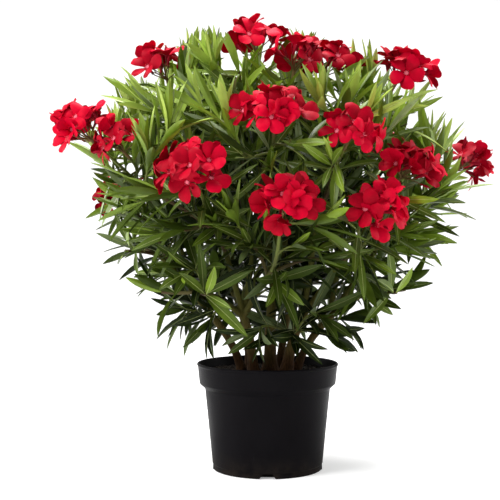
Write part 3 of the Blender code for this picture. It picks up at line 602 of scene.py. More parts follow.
class Growth:
    """The whole shrub laid out: stems, masses, shoots by the solids' rule and the finer twigs on them."""

    def __init__(self):
        self.stems = [Stem(name) for name in STEMS]
        self.masses = [Mass(name) for name in MASSES]
        self.trusses = [truss for mass in self.masses for truss in mass.trusses]
        for stem in self.stems:
            stem.masses = [mass for mass in self.masses if MASSES[mass.name][0] == stem.name]
            for mass in stem.masses:
                mass.start_way = ((mass.hub - stem.fork).normalized() + UP * LIMB_RISE).normalized()
            stem.stub = stem.stub_length()
            for mass in stem.masses:
                mass.lay_limb(stem)
        limbs = []
        for stem in self.stems:
            limbs += [(run, stem.radius) for run in runs_of(stem.path)]
            limbs += [((stem.fork, mass.limb_path[0]), FORK_RADIUS) for mass in stem.masses]
        for mass in self.masses:
            limbs += [(run, FORK_RADIUS) for run in runs_of(mass.bough_path)]
        self.limb_runs = [run for run, _ in limbs]
        self.limb_radii = np.array([radius for _, radius in limbs])
        self.add_flowering_shoots()
        self.add_leafy_shoots()
        self.twigs = []
        self.add_finer_twigs()

    def shoots(self):
        return [shoot for mass in self.masses for shoot in mass.shoots] + self.twigs

    def held(self, points):
        """Which of the points, an array, some truss holds."""
        return np.any([truss.holds(points) for truss in self.trusses], axis=0)

    def cleared(self, points):
        """Which of the points, an array, some truss holds or keeps clear."""
        return self.held(points) | np.any([truss.clears(points) for truss in self.trusses], axis=0)

    def shade_at(self, place):
        """How much darker it is at a place for the trusses over it."""
        over = [truss for truss in self.trusses if truss.middle.z > place.z]
        nearest = min(((truss.middle - place).length for truss in over), default=SHADE_REACH)
        return DEEPEST_SHADE * max(0.0, 1 - nearest / SHADE_REACH)

    def add_flowering_shoots(self):
        for mass in self.masses:
            for truss, share in zip(mass.trusses, BRANCHING_SHARES):
                root, way = mass.branching(share)
                path = bezier(root, way, truss.foot, truss.way, SHOOT_POINTS)
                mass.add_shoot(Shoot(path, 1, truss), share)

    def add_leafy_shoots(self):
        """Each place in the crown that is still open gets a shoot from one of the masses nearest to it."""
        low = [place for mass in self.masses if not mass.trusses for place in mass.skirt_places()]
        for place, look in low + crown_places(SHOOT_PLACES, SHOOT_SHARE, LOWEST_PLACE):
            if any((place - truss.middle).length < TRUSS_SPACE + TRUSS_MARGIN for truss in self.trusses):
                continue
            tips = [shoot.path[-1] for mass in self.masses for shoot in mass.shoots]
            if any((place - tip).length < TIP_SPACING for tip in tips):
                continue
            masses = sorted(self.masses, key=lambda m: (place - m.hub).length)
            arrive = (look + UP * SHOOT_LIFTS[place.z > SHOOT_LIFT_LEVEL]).normalized()
            for mass, share in [(mass, share) for mass in masses[:3] for share in mass.open_shares]:
                root, way = mass.branching(share)
                path = reaching(root, way, place, arrive, SHOOT_POINTS)
                whole = length_of(path)
                if not SHORTEST_SHOOT < whole < LONGEST_SHOOT:
                    continue
                if self.free_for_shoot(mass, part_of_path(path, SHOOT_START, whole, 10)):
                    mass.add_shoot(Shoot(path, 1), share)
                    break

    def free_for_shoot(self, mass, points):
        """Whether a shoot of the mass may pass the points: clear of limbs, trusses and every other shoot."""
        if (distances(points, self.limb_runs) < self.limb_radii + LIMB_CLEARANCE).any():
            return False
        if self.held(np.array(points)).any():
            return False
        others = [run for other in self.masses if other is not mass for run in other.space]
        own = [run for shoot in mass.shoots for run in runs_of(shoot.path)]
        return distances(points, others).min() > 2 * SHOOT_CLEARANCE and (
            not own or distances(points, own).min() > SHOOT_CLEARANCE
        )

    def add_finer_twigs(self):
        """The same rule carried on: each place still open gets a twig from the wood that reaches it best."""
        wood = [spot for stem in self.stems for spot in Shoot(stem.path, 1).wood(0.30)]
        wood += [spot for mass in self.masses for spot in Shoot(mass.stem_path, 0).wood(0.15)]
        wood += [spot for mass in self.masses for shoot in mass.shoots for spot in shoot.wood(0.25)]
        tips = [shoot.path[-1] for mass in self.masses for shoot in mass.shoots]
        chance = random.Random(SEEDS["twigs"])
        layers = sorted(TWIG_LAYERS, key=lambda layer: layer[1])
        for count, share, spacing in layers:
            for place, look in crown_places(count, share, LOWEST_TWIG):
                place = place + Vector([chance.uniform(-TWIG_STRAY, TWIG_STRAY) for _ in range(3)])
                if not in_room(place - UP * LEAF_DROOP) or self.cleared(np.array([place])).any():
                    continue
                if any((place - tip).length < spacing * sparseness(place.z) for tip in tips):
                    continue
                shoot = self.twig_to(place, look, wood)
                if shoot:
                    self.twigs.append(shoot)
                    tips.append(place)
                    wood += shoot.wood(0.3)

    def twig_to(self, place, look, wood):
        """A twig to place from where on the wood it is shortest and bends least."""
        spots = np.array([spot for spot, _, _ in wood])
        ways = np.array([way for _, way, _ in wood])
        levels = np.array([level for _, _, level in wood])
        offsets = np.array(place) - spots
        lengths = np.linalg.norm(offsets, axis=1)
        turns = (offsets * ways).sum(1) / np.maximum(lengths, 1e-6)
        costs = lengths * (1 + BEND_COST - BEND_COST * turns) + LEVEL_COST * levels
        costs[(lengths < SHORTEST_TWIG) | (lengths > LONGEST_TWIG) | (turns < LEAST_FORWARD)] = np.inf
        best = int(costs.argmin())
        if not np.isfinite(costs[best]):
            return None
        root, way, level = wood[best]
        under, at, more = TWIG_LIFTS
        over = place.z - TWIG_LIFT_LEVEL
        lift = under if over < 0 else at + more * over
        arrive = (look + UP * lift).normalized()
        path = reaching(root, way, place, arrive, TWIG_POINTS)
        if self.cleared(np.array(path)[1:]).any():
            return None
        return Shoot(path, level + 1)


@functools.lru_cache(maxsize=1)
def growth():
    """Laid out once, for every piece that needs it."""
    return Growth()


# ---------------------------------------------------------------- meshes from arrays
class Pile:
    """Many small shapes gathered into one mesh."""

    def __init__(self):
        self.points = []
        self.faces = []
        self.count = 0

    def add(self, points, *faces):
        """Points as triples, faces as arrays of indices into them, one array for each number of corners."""
        self.points.append(points.reshape(-1, 3))
        self.faces += [table + self.count for table in faces if len(table)]
        self.count += len(self.points[-1])

    def add_lofts(self, rings, tips=None, open_start=False):
        """Skins rings, shaped (shapes, rings, points, 3). Each shape ends in its tip or in a flat cap."""
        shapes, levels, sides, _ = rings.shape
        index = np.arange(shapes * levels * sides).reshape(shapes, levels, sides)
        after = np.roll(index, -1, axis=2)
        walls = np.stack([index[:, :-1], after[:, :-1], after[:, 1:], index[:, 1:]], axis=-1).reshape(-1, 4)
        faces = [walls]
        points = rings.reshape(-1, 3)
        if not open_start:
            faces.append(index[:, 0, ::-1].reshape(-1, sides))
        if tips is None:
            faces.append(index[:, -1].reshape(-1, sides))
        else:
            ends = np.repeat(len(points) + np.arange(shapes)[:, None], sides, axis=1)
            faces.append(np.stack([index[:, -1], after[:, -1], ends], axis=-1).reshape(-1, 3))
            points = np.concatenate([points, tips])
        self.add(points, *faces)

    def mesh(self, name):
        mesh = bpy.data.meshes.new(name)
        points = np.concatenate(self.points).astype(np.float32)
        loops = np.concatenate([table.ravel() for table in self.faces]).astype(np.int32)
        sizes = np.concatenate([np.full(len(table), table.shape[1]) for table in self.faces])
        starts = np.concatenate([[0], np.cumsum(sizes)[:-1]]).astype(np.int32)
        mesh.vertices.add(len(points))
        mesh.vertices.foreach_set("co", points.ravel())
        mesh.loops.add(len(loops))
        mesh.loops.foreach_set("vertex_index", loops)
        mesh.polygons.add(len(sizes))
        mesh.polygons.foreach_set("loop_start", starts)
        mesh.update(calc_edges=True)
        return mesh


def tube_rings(path, radii, sides, roll=0.0):
    """Rings round a path, shaped (1, rings, sides, 3)."""
    ways = [(b - a).normalized() for a, b in zip(path, path[1:])]
    ways = [ways[0]] + [(a + b).normalized() for a, b in zip(ways, ways[1:])] + [ways[-1]]
    side = across(ways[0])
    rings = []
    for point, way, radius in zip(path, ways, radii):
        side = (side - way * side.dot(way)).normalized()
        other = way.cross(side)
        angles = [roll + 2 * math.pi * k / sides for k in range(sides)]
        rings.append([point + (side * math.cos(a) + other * math.sin(a)) * radius for a in angles])
    return np.array(rings)[None]


def mesh_from(shape, name):
    """The mesh of a finished bmesh, which is let go."""
    mesh = bpy.data.meshes.new(name)
    shape.to_mesh(mesh)
    shape.free()
    return mesh


def placed(name, data):
    """A new object in the scene for a mesh, a light or a camera."""
    thing = bpy.data.objects.new(name, data)
    bpy.context.scene.collection.objects.link(thing)
    return thing


def evaluated_mesh(thing):
    """The mesh of an object with its modifiers carried out."""
    graph = bpy.context.evaluated_depsgraph_get()
    return bpy.data.meshes.new_from_object(thing.evaluated_get(graph))


def piece_of(mesh, name, material, nodes, crease=math.radians(50)):
    """Places a mesh as a finished piece that stands for the named nodes of the frame."""
    mesh.materials.clear()
    mesh.materials.append(material)
    mesh.polygons.foreach_set("use_smooth", np.ones(len(mesh.polygons), bool))
    mesh.set_sharp_from_angle(angle=crease)
    piece = placed(name, mesh)
    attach(piece, BODY)
    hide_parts(*nodes)
    return piece


def nodes_named(*prefixes):
    return sorted(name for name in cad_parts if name.startswith(prefixes))


# ---------------------------------------------------------------- shader groups
def new_group(name, sockets):
    """An empty shader group with its named inputs and outputs: (name, IN or OUT, kind, default)."""
    group = bpy.data.node_groups.new(name, "ShaderNodeTree")
    for label, way, kind, default in sockets:
        socket = group.interface.new_socket(label, in_out=way + "PUT", socket_type="NodeSocket" + kind)
        if default is not None:
            socket.default_value = default
    return group, group.nodes.new("NodeGroupInput"), group.nodes.new("NodeGroupOutput")


def node_in(tree, kind, inputs, **settings):
    """A node with its settings and inputs. An input given as a socket is linked, any other value is set."""
    node = tree.nodes.new(kind)
    for key, value in settings.items():
        setattr(node, key, value)
    for key, value in inputs.items():
        if isinstance(value, bpy.types.NodeSocket):
            tree.links.new(value, node.inputs[key])
        else:
            node.inputs[key].default_value = value
    return node


def places_in(tree):
    return tree.nodes.new("ShaderNodeTexCoord").outputs["Object"]


def height_in(tree, place):
    return node_in(tree, "ShaderNodeSeparateXYZ", {0: place}).outputs["Z"]


def drawn_in(tree, place, share):
    """Places with their heights made less, so that a pattern on them is drawn out upwards."""
    return node_in(tree, "ShaderNodeMapping", {"Vector": place, "Scale": (1.0, 1.0, share)}).outputs["Vector"]


def noise_in(tree, place, scale, detail=3.0, roughness=0.55):
    inputs = {"Vector": place, "Scale": scale, "Detail": detail, "Roughness": roughness}
    return node_in(tree, "ShaderNodeTexNoise", inputs).outputs["Fac"]


def spread_in(tree, value, low, high, to_low=0.0, to_high=1.0):
    """Stretches a value's middle range over another range, clamped."""
    inputs = {"Value": value, "From Min": low, "From Max": high, "To Min": to_low, "To Max": to_high}
    return node_in(tree, "ShaderNodeMapRange", inputs).outputs["Result"]


def mix_in(tree, share, first, second):
    """The colour at a share of the way from the first colour to the second."""
    return node_in(tree, "ShaderNodeMix", {0: share, 6: first, 7: second}, data_type="RGBA").outputs[2]


def math_in(tree, operation, first, second):
    return node_in(tree, "ShaderNodeMath", {0: first, 1: second}, operation=operation).outputs[0]


@functools.lru_cache(maxsize=None)
def living_group():
    """The look of grown things: patches of a second colour, fine flecks, uneven gloss and a fine relief."""
    group, given, made = new_group(
        "living_surface",
        [
            ("Colour", "IN", "Color", (0.1, 0.2, 0.05, 1)),
            ("Second Colour", "IN", "Color", (0.05, 0.1, 0.02, 1)),
            ("Patch Scale", "IN", "Float", 30.0),
            ("Fleck Scale", "IN", "Float", 700.0),
            ("Flecks", "IN", "Float", 0.25),
            ("Gloss Low", "IN", "Float", 0.35),
            ("Gloss High", "IN", "Float", 0.55),
            ("Colour", "OUT", "Color", None),
            ("Roughness", "OUT", "Float", None),
            ("Height", "OUT", "Float", None),
        ],
    )
    place = places_in(group)
    patches = spread_in(group, noise_in(group, place, given.outputs["Patch Scale"], 2.0), 0.32, 0.68)
    flecks = noise_in(group, place, given.outputs["Fleck Scale"], 4.0, 0.65)
    patched = mix_in(group, patches, given.outputs["Colour"], given.outputs["Second Colour"])
    fleck_mask = math_in(group, "MULTIPLY", spread_in(group, flecks, 0.46, 0.74), given.outputs["Flecks"])
    flecked = mix_in(group, fleck_mask, patched, given.outputs["Second Colour"])
    gloss = spread_in(group, flecks, 0.0, 1.0, given.outputs["Gloss Low"], given.outputs["Gloss High"])
    group.links.new(flecked, made.inputs["Colour"])
    group.links.new(gloss, made.inputs["Roughness"])
    group.links.new(flecks, made.inputs["Height"])
    return group


@functools.lru_cache(maxsize=None)
def dust_group():
    """A second colour in clouds on a thing up from a level, dust on the pot: the coloured result and where
    the second colour lies.
    """
    group, given, made = new_group(
        "settled_dust",
        [
            ("Colour", "IN", "Color", (0.02, 0.02, 0.02, 1)),
            ("Dust Colour", "IN", "Color", (0.1, 0.08, 0.06, 1)),
            ("Level", "IN", "Float", 0.0),
            ("Reach", "IN", "Float", 0.05),
            ("Amount", "IN", "Float", 0.5),
            ("Colour", "OUT", "Color", None),
            ("Mask", "OUT", "Float", None),
        ],
    )
    place = places_in(group)
    above = math_in(group, "SUBTRACT", height_in(group, place), given.outputs["Level"])
    share = math_in(group, "DIVIDE", above, given.outputs["Reach"])
    near = spread_in(group, share, 0.0, 1.0, 1.0, 0.0)
    cloudy = spread_in(group, noise_in(group, place, 45.0, 6.0, 0.7), 0.35, 0.75)
    mask = math_in(group, "MULTIPLY", math_in(group, "MULTIPLY", near, cloudy), given.outputs["Amount"])
    dusted = mix_in(group, mask, given.outputs["Colour"], given.outputs["Dust Colour"])
    group.links.new(dusted, made.inputs["Colour"])
    group.links.new(mask, made.inputs["Mask"])
    return group


def new_material(name):
    material = bpy.data.materials.new(name)
    material.use_nodes = True
    shader = material.node_tree.nodes["Principled BSDF"]
    return material, material.node_tree, shader


def bump_onto(tree, shader, height, distance):
    bump = node_in(tree, "ShaderNodeBump", {"Strength": 1.0, "Distance": distance, "Height": height})
    tree.links.new(bump.outputs["Normal"], shader.inputs["Normal"])


def group_in(tree, group, **inputs):
    """A shader group in a material, with its inputs named in small letters."""
    labelled = {name.replace("_", " ").title(): value for name, value in inputs.items()}
    return node_in(tree, "ShaderNodeGroup", labelled, node_tree=group)


def shade(colour, factor):
    """A colour with alpha, darker or lighter."""
    return (*[min(1.0, channel * factor) for channel in colour[:3]], 1.0)


def living_material(
    name, colour, second, gloss, patches=26.0, flecks=0.25, relief=0.00012, shine=0.3
):
    """A material with the look of grown things, between two colours and two degrees of roughness."""
    material, tree, shader = new_material(name)
    shader.inputs["Specular IOR Level"].default_value = shine
    look = group_in(
        tree,
        living_group(),
        colour=shade(colour, 1.0),
        second_colour=shade(second, 1.0),
        patch_scale=patches,
        flecks=flecks,
        gloss_low=gloss[0],
        gloss_high=gloss[1],
    )
    tree.links.new(look.outputs["Colour"], shader.inputs["Base Color"])
    tree.links.new(look.outputs["Roughness"], shader.inputs["Roughness"])
    bump_onto(tree, shader, look.outputs["Height"], relief)
    return material


# ---------------------------------------------------------------- settings
def colour_prop(name, description, default):
    return FloatVectorProperty(
        name=name, description=description, default=default, subtype="COLOR", min=0, max=1
    )


def count_prop(name, description, default, least=0):
    return IntProperty(name=name, description=description, default=default, min=least)


def value_prop(name, description, default, **more):
    return FloatProperty(name=name, description=description, default=default, **more)


def length_prop(name, description, default):
    return value_prop(name, description, default, unit="LENGTH", precision=5)


def power_prop(name, description, default):
    return value_prop(name, description, default, unit="POWER")


class StageSettings(bpy.types.PropertyGroup):
    floor_colour: colour_prop("Floor", "Colour of the floor and the wall behind", (0.86, 0.86, 0.86))
    floor_glow: value_prop("Floor glow", "How much the backdrop is whitened for the eye", 0.30)
    world_strength: value_prop("Ambient", "Strength of the light from all round", 0.47)
    key_power: power_prop("Key", "Power of the main soft light", 70.0)
    rim_power: power_prop("Rims", "Power of the lights at the sides", 20.0)
    top_power: power_prop("Top", "Power of the light overhead", 90.0)
    eye_distance: length_prop("Eye distance", "From the pot's axis to the camera", EYE_DISTANCE)
    eye_height: length_prop("Eye height", "Of the camera over the floor", EYE_HEIGHT)
    lens: value_prop("Lens", "Focal length in millimetres", 74.4)


class PotSettings(bpy.types.PropertyGroup):
    sides: count_prop("Sides", "Facets round the pot", 160, 36)
    plastic: colour_prop("Plastic", "Colour of the pot", (0.0050, 0.0045, 0.0053))
    dust: colour_prop("Dust", "Colour of the dust on the pot", (0.110, 0.080, 0.050))
    crumbs: count_prop("Crumbs", "Loose crumbs on the soil", 1500)
    peat: colour_prop("Peat", "Colour of the soil", (0.030, 0.020, 0.013))


class WoodSettings(bpy.types.PropertyGroup):
    bark: colour_prop("Bark", "Colour of the old bark", (0.058, 0.026, 0.009))
    green_bark: colour_prop("Green bark", "Colour of the boughs higher up", (0.064, 0.068, 0.012))
    shoot: colour_prop("Shoot", "Colour of the young shoots", (0.140, 0.175, 0.030))
    voxel: length_prop("Voxel", "Grain of the bark's mesh", 0.0013)
    relief: length_prop("Relief", "Depth of the bark's furrows", 0.00055)


class LeafSettings(bpy.types.PropertyGroup):
    length: length_prop("Length", "Of a full leaf", 0.090)
    width: length_prop("Width", "Of a full leaf", 0.0120)
    fold: value_prop("Fold", "How far each half rises off flat", math.radians(17), subtype="ANGLE")
    # From lime down to dark the tones are painted light and shade; silver is painted lighter than sage for
    # being higher up.
    lime: colour_prop("Lime", "Youngest leaves at the top", (0.385, 0.515, 0.085))
    fresh: colour_prop("Fresh", "Upper leaves", (0.205, 0.310, 0.022))
    mid: colour_prop("Mid", "Leaves halfway down", (0.096, 0.152, 0.011))
    deep: colour_prop("Deep", "Lower leaves", (0.042, 0.070, 0.006))
    dark: colour_prop("Dark", "Inner and lowest leaves", (0.012, 0.021, 0.003))
    silver: colour_prop("Silver", "Pale greyish leaves high up", (0.230, 0.300, 0.120))
    sage: colour_prop("Sage", "Pale greyish leaves lower down", (0.098, 0.136, 0.044))
    paleness: value_prop("Paleness", "Share of pale greyish leaves", 0.09)
    rib: colour_prop("Midrib", "Midribs of the upper leaves", (0.430, 0.500, 0.150))


class BlossomSettings(bpy.types.PropertyGroup):
    openness: value_prop("Openness", "Share of each truss's flowers that are open", 1.0)
    buds: count_prop("Buds", "Buds on a truss", 7)
    radius: length_prop("Radius", "Of an open flower", 0.0264)
    petal: colour_prop("Petal", "Petals in full colour", (0.610, 0.0006, 0.0235))
    deep_petal: colour_prop("Deep petal", "Petals of the older flowers", (0.390, 0.0003, 0.0130))
    throat: colour_prop("Throat", "The throat and the fringe round it", (0.950, 0.220, 0.300))
    bud: colour_prop("Bud", "Buds and flower tubes", (0.200, 0.004, 0.014))
    stalk: colour_prop("Stalk", "Flower stalks", (0.170, 0.110, 0.045))


# ---------------------------------------------------------------- pot
def turned(name, profile, sides):
    """A closed solid of revolution about Z. Its profile runs from the axis round the outside to the axis."""
    shape = bmesh.new()
    rings = []
    for radius, height in profile:
        if radius == 0:
            rings.append([shape.verts.new((0, 0, height))])
            continue
        angles = [2 * math.pi * k / sides for k in range(sides)]
        rings.append([shape.verts.new((radius * math.cos(a), radius * math.sin(a), height)) for a in angles])
    for low, high in zip(rings, rings[1:]):
        for k in range(sides):
            lower = [low[n % len(low)] for n in (k, k + 1)]
            upper = [high[n % len(high)] for n in (k + 1, k)]
            shape.faces.new(list(dict.fromkeys(lower + upper)))
    bmesh.ops.recalc_face_normals(shape, faces=shape.faces)
    return mesh_from(shape, name)


def rounded(profile, radius, steps=4):
    """The profile with each corner but the first and last turned into a small arc."""
    result = [profile[0]]
    for before, corner, after in zip(profile, profile[1:], profile[2:]):
        corner, before, after = Vector(corner), Vector(before), Vector(after)
        reach = min(radius, (before - corner).length * 0.45, (after - corner).length * 0.45)
        start = corner + (before - corner).normalized() * reach
        end = corner + (after - corner).normalized() * reach
        for k in range(steps + 1):
            share = k / steps
            point = start * (1 - share) ** 2 + corner * 2 * share * (1 - share) + end * share**2
            result.append((point.x, point.y))
    return result + [profile[-1]]


def notch_block(number, grown, overrun):
    """The hollow of one drain notch, or its cover when grown, as an object for a Boolean."""
    shape = bmesh.new()
    half, height = NOTCH_WIDTH / 2 + grown, NOTCH_HEIGHT + grown
    low = -overrun if overrun else POT_FLOOR / 4
    slope = NOTCH_SLOPE * (height - low) / NOTCH_HEIGHT
    inner = FOOT_RADIUS - NOTCH_DEPTH - grown
    outer = FOOT_RADIUS + overrun if overrun else FOOT_RADIUS - POT_WALL / 3
    corners = [(-half, low), (half, low), (half - slope, height), (-half + slope, height)]
    near = [shape.verts.new((inner, y, z)) for y, z in corners]
    far = [shape.verts.new((outer, y, z)) for y, z in corners]
    shape.faces.new(near[::-1])
    shape.faces.new(far)
    for k in range(4):
        shape.faces.new((near[k], near[(k + 1) % 4], far[(k + 1) % 4], far[k]))
    angle = -math.pi / 2 + 2 * math.pi * number / NOTCHES
    bmesh.ops.rotate(shape, verts=shape.verts, matrix=Matrix.Rotation(angle, 3, "Z"))
    bmesh.ops.recalc_face_normals(shape, faces=shape.faces)
    return placed("notch", mesh_from(shape, "notch"))


def with_boolean(mesh, operation, others):
    """The mesh joined with the other objects, or cut by them. The others are removed."""
    base = placed("boolean_base", mesh)
    for number, other in enumerate(others):
        modifier = base.modifiers.new(f"cut_{number}", "BOOLEAN")
        modifier.operation = operation
        modifier.object = other
        modifier.solver = "EXACT"
    result = evaluated_mesh(base)
    for spent in [base, *others]:
        bpy.data.objects.remove(spent)
    return result


def pot_profile():
    """Half the pot's section: foot, wall, shoulder, rim band and lip outside, and the smooth inside."""
    inner = [
        (BAND_TOP_RADIUS - POT_WALL, POT_HEIGHT),
        (BAND_FOOT_RADIUS - POT_WALL, BAND_FOOT_HEIGHT + POT_WALL),
        (SHOULDER_RADIUS - POT_WALL, SHOULDER_HEIGHT + POT_WALL),
        (FOOT_RADIUS - POT_WALL, POT_FLOOR),
    ]
    outer = [
        (0, 0),
        (FOOT_RADIUS, 0),
        (FOOT_RADIUS, FOOT_HEIGHT - FOOT_STEP),
        (WALL_FOOT_RADIUS, FOOT_HEIGHT),
        (SHOULDER_RADIUS, SHOULDER_HEIGHT),
        (BAND_FOOT_RADIUS, BAND_FOOT_HEIGHT),
        (BAND_TOP_RADIUS, POT_HEIGHT - RIM_LIP - LIP_UNDERCUT),
        (RIM_RADIUS, POT_HEIGHT - RIM_LIP),
        (RIM_RADIUS, POT_HEIGHT - RIM_BEVEL),
        (RIM_RADIUS - RIM_BEVEL, POT_HEIGHT),
    ]
    return rounded(outer + inner + [(0, POT_FLOOR)], POT_ROUNDING)


def plastic_material(settings):
    """Moulded black plastic: satin, faintly mottled, scuffed where it is handled, dusty at the foot."""
    material, tree, shader = new_material("moulded_plastic")
    place = places_in(tree)
    grain = noise_in(tree, place, 1400.0, 2.0)
    waves = noise_in(tree, place, 22.0)
    scuffs = spread_in(tree, noise_in(tree, drawn_in(tree, place, 0.08), 260.0, 5.0, 0.7), 0.60, 0.74)
    mottled = mix_in(tree, waves, shade(settings.plastic, 0.8), shade(settings.plastic, 1.35))
    scuffed = mix_in(tree, math_in(tree, "MULTIPLY", scuffs, 0.30), mottled, shade(settings.plastic, 3.2))
    dust = group_in(
        tree,
        dust_group(),
        colour=scuffed,
        dust_colour=shade(settings.dust, 1.0),
        level=0.0,
        reach=0.035,
        amount=0.16,
    )
    satin = spread_in(tree, waves, 0.3, 0.7, 0.34, 0.46)
    gloss = math_in(tree, "ADD", satin, math_in(tree, "MULTIPLY", scuffs, 0.16))
    tree.links.new(dust.outputs["Colour"], shader.inputs["Base Color"])
    tree.links.new(math_in(tree, "ADD", gloss, dust.outputs["Mask"]), shader.inputs["Roughness"])
    height = math_in(tree, "ADD", grain, math_in(tree, "MULTIPLY", waves, 2.0))
    bump_onto(tree, shader, height, 0.00010)
    shader.inputs["Specular IOR Level"].default_value = 0.024
    return material


class OLEANDER_OT_pot(bpy.types.Operator):
    """Turns the nursery pot and cuts its drain notches"""

    bl_idname = "oleander.pot"
    bl_label = "Pot"

    def execute(self, context):
        settings = context.scene.oleander_pot
        mesh = turned("nursery_pot", pot_profile(), settings.sides)
        covers = [notch_block(k, POT_WALL, 0.0) for k in range(NOTCHES)]
        mesh = with_boolean(mesh, "UNION", covers)
        hollows = [notch_block(k, 0.0, POT_WALL + NOTCH_OVERRUN) for k in range(NOTCHES)]
        mesh = with_boolean(mesh, "DIFFERENCE", hollows)
        piece_of(mesh, "nursery_pot", plastic_material(settings), ["pot"], math.radians(35))
        return {"FINISHED"}


# ---------------------------------------------------------------- soil
def soil_height(x, y):
    """The soil's level: heaped a little in the middle, lower at the pot, rough all over."""
    radius = math.hypot(x, y)
    edge = min(1.0, max(0.0, (radius - SOIL_FLAT_RADIUS) / (BAND_TOP_RADIUS - SOIL_FLAT_RADIUS)))
    rough = noise.fractal(Vector((x, y, 0)) * 90, 0.8, 2.1, 4) * 0.0016
    return SOIL_TOP - SOIL_EDGE_DROP * edge + rough


def crumb_template(chance):
    """A rough lump of about unit size, as points and triangles."""
    shape = bmesh.new()
    bmesh.ops.create_icosphere(shape, subdivisions=1, radius=1.0)
    for vertex in shape.verts:
        vertex.co *= chance.uniform(0.65, 1.15)
    points = np.array([vertex.co for vertex in shape.verts])
    faces = np.array([[vertex.index for vertex in face.verts] for face in shape.faces])
    shape.free()
    return points, faces


def soil_surface(pile, radius):
    """The soil as one closed body: a rough top on a skirt that goes down inside the pot."""
    rows = []
    for level in range(SOIL_RINGS):
        reach = radius * (level + 1) / SOIL_RINGS
        angles = [2 * math.pi * k / SOIL_SIDES for k in range(SOIL_SIDES)]
        spots = [(reach * math.cos(a), reach * math.sin(a)) for a in angles]
        rows.append([(x, y, soil_height(x, y)) for x, y in spots])
    low = [(x * 0.96, y * 0.96, BAND_FOOT_HEIGHT) for x, y, _ in rows[-1]]
    grid = np.array(rows + [low])[None, ::-1, ::-1]
    pile.add_lofts(grid, tips=np.array([[0, 0, soil_height(0, 0)]]))


class OLEANDER_OT_soil(bpy.types.Operator):
    """Lays the potting soil and strews crumbs over it"""

    bl_idname = "oleander.soil"
    bl_label = "Soil"

    def execute(self, context):
        settings = context.scene.oleander_pot
        chance = random.Random(SEEDS["soil"])
        radius = BAND_TOP_RADIUS - POT_WALL - SOIL_CLEARANCE
        bed = Pile()
        soil_surface(bed, radius)
        peat = settings.peat
        material = living_material("peat", peat, shade(peat, 0.35), (0.82, 0.98), 160.0, 0.7, 0.0007)
        piece_of(bed.mesh("soil_bed"), "soil_bed", material, ["soil"], math.radians(60))
        crumbs, chips = Pile(), Pile()
        templates = [crumb_template(chance) for _ in range(CRUMB_KINDS)]
        for _ in range(settings.crumbs):
            reach, turn = (radius - 0.003) * math.sqrt(chance.random()), chance.uniform(0, 2 * math.pi)
            x, y = reach * math.cos(turn), reach * math.sin(turn)
            size = SMALLEST_CRUMB + CRUMB_SPREAD * chance.random() ** 3
            points, faces = chance.choice(templates)
            is_chip = chance.random() < CHIP_SHARE
            flat = CHIP_SHAPE if is_chip else CRUMB_SHAPE
            spin = np.array(Matrix.Rotation(chance.uniform(0, 2 * math.pi), 3, "Z"))
            spot = (x, y, soil_height(x, y) + size * 0.25)
            (chips if is_chip else crumbs).add((points * flat * size) @ spin.T + spot, faces)
        dark = living_material(
            "peat_crumbs", shade(peat, 0.8), shade(peat, 0.3), (0.8, 0.95), 300.0, 0.6, 0.0004
        )
        woody = living_material("bark_chips", shade(peat, 2.4), peat, (0.75, 0.9), 220.0, 0.5, 0.0003)
        piece_of(crumbs.mesh("soil_crumbs"), "soil_crumbs", dark, ["soil"])
        piece_of(chips.mesh("soil_chips"), "soil_chips", woody, ["soil"])
        return {"FINISHED"}


# ---------------------------------------------------------------- bark
def smooth_path(path, count):
    return part_of_path(path, 0, length_of(path), count)


def tapered_tube(path, first, last, rings, sides):
    """The rings of a tube along path, from one radius to another."""
    path = smooth_path(path, rings)
    return tube_rings(path, tapered(path, first, last), sides)


def stem_tubes(stem):
    """A stem with its flare and the boughs that leave its fork, as rough overlapping tubes in one mesh."""
    pile = Pile()
    rings, sides = STEM_SKIN
    path = smooth_path(stem.path, rings)
    radii = tapered(path, stem.radius, stem.fork_radius)
    for n, share in enumerate(STEM_FLARES):
        radii[n] *= share
    pile.add_lofts(tube_rings(path, radii, sides))
    rings, sides = LIMB_SKIN
    for mass in stem.masses:
        way_in = [stem.path[-2].lerp(stem.fork, 0.4), stem.fork + mass.start_way * 0.003]
        route = smooth_path(way_in + mass.limb_path, rings)
        widths = tapered(route, FORK_RADIUS * 1.02, mass.limb_end_radius)
        widths[0] = stem.fork_radius * 0.8
        widths[1] = stem.fork_radius * 0.92
        pile.add_lofts(tube_rings(route, widths, sides, roll=0.3))
    return pile.mesh(f"bark_{stem.name}")


def remeshed(mesh, voxel):
    """The overlapping tubes of a mesh melted into one skin."""
    holder = placed("remesh_base", mesh)
    modifier = holder.modifiers.new("melt", "REMESH")
    modifier.mode = "VOXEL"
    modifier.voxel_size = voxel
    smoothing = holder.modifiers.new("smooth", "SMOOTH")
    smoothing.factor = 0.5
    smoothing.iterations = 3
    result = evaluated_mesh(holder)
    bpy.data.objects.remove(holder)
    return result


def furrow(mesh, depth):
    """Pushes the skin in and out: long furrows low down, smoother bark with leaf scars higher up."""
    normals = [vertex.normal.copy() for vertex in mesh.vertices]
    for vertex, normal in zip(mesh.vertices, normals):
        place = vertex.co
        age = min(1.0, max(0.25, 1.0 - (place.z - SOIL_TOP) / 0.16))
        long_furrows = noise.fractal(Vector((place.x * 330, place.y * 330, place.z * 75)), 0.7, 2.0, 3)
        knots = noise.noise(place * 120 + Vector((7, 3, 1)))
        scars = max(0.0, math.sin(place.z * 300 + 2.2 * noise.noise(place * 60))) ** 8
        vertex.co += normal * depth * (age * (long_furrows * 0.9 + knots * 0.6) + (1 - age) * scars * 0.7)


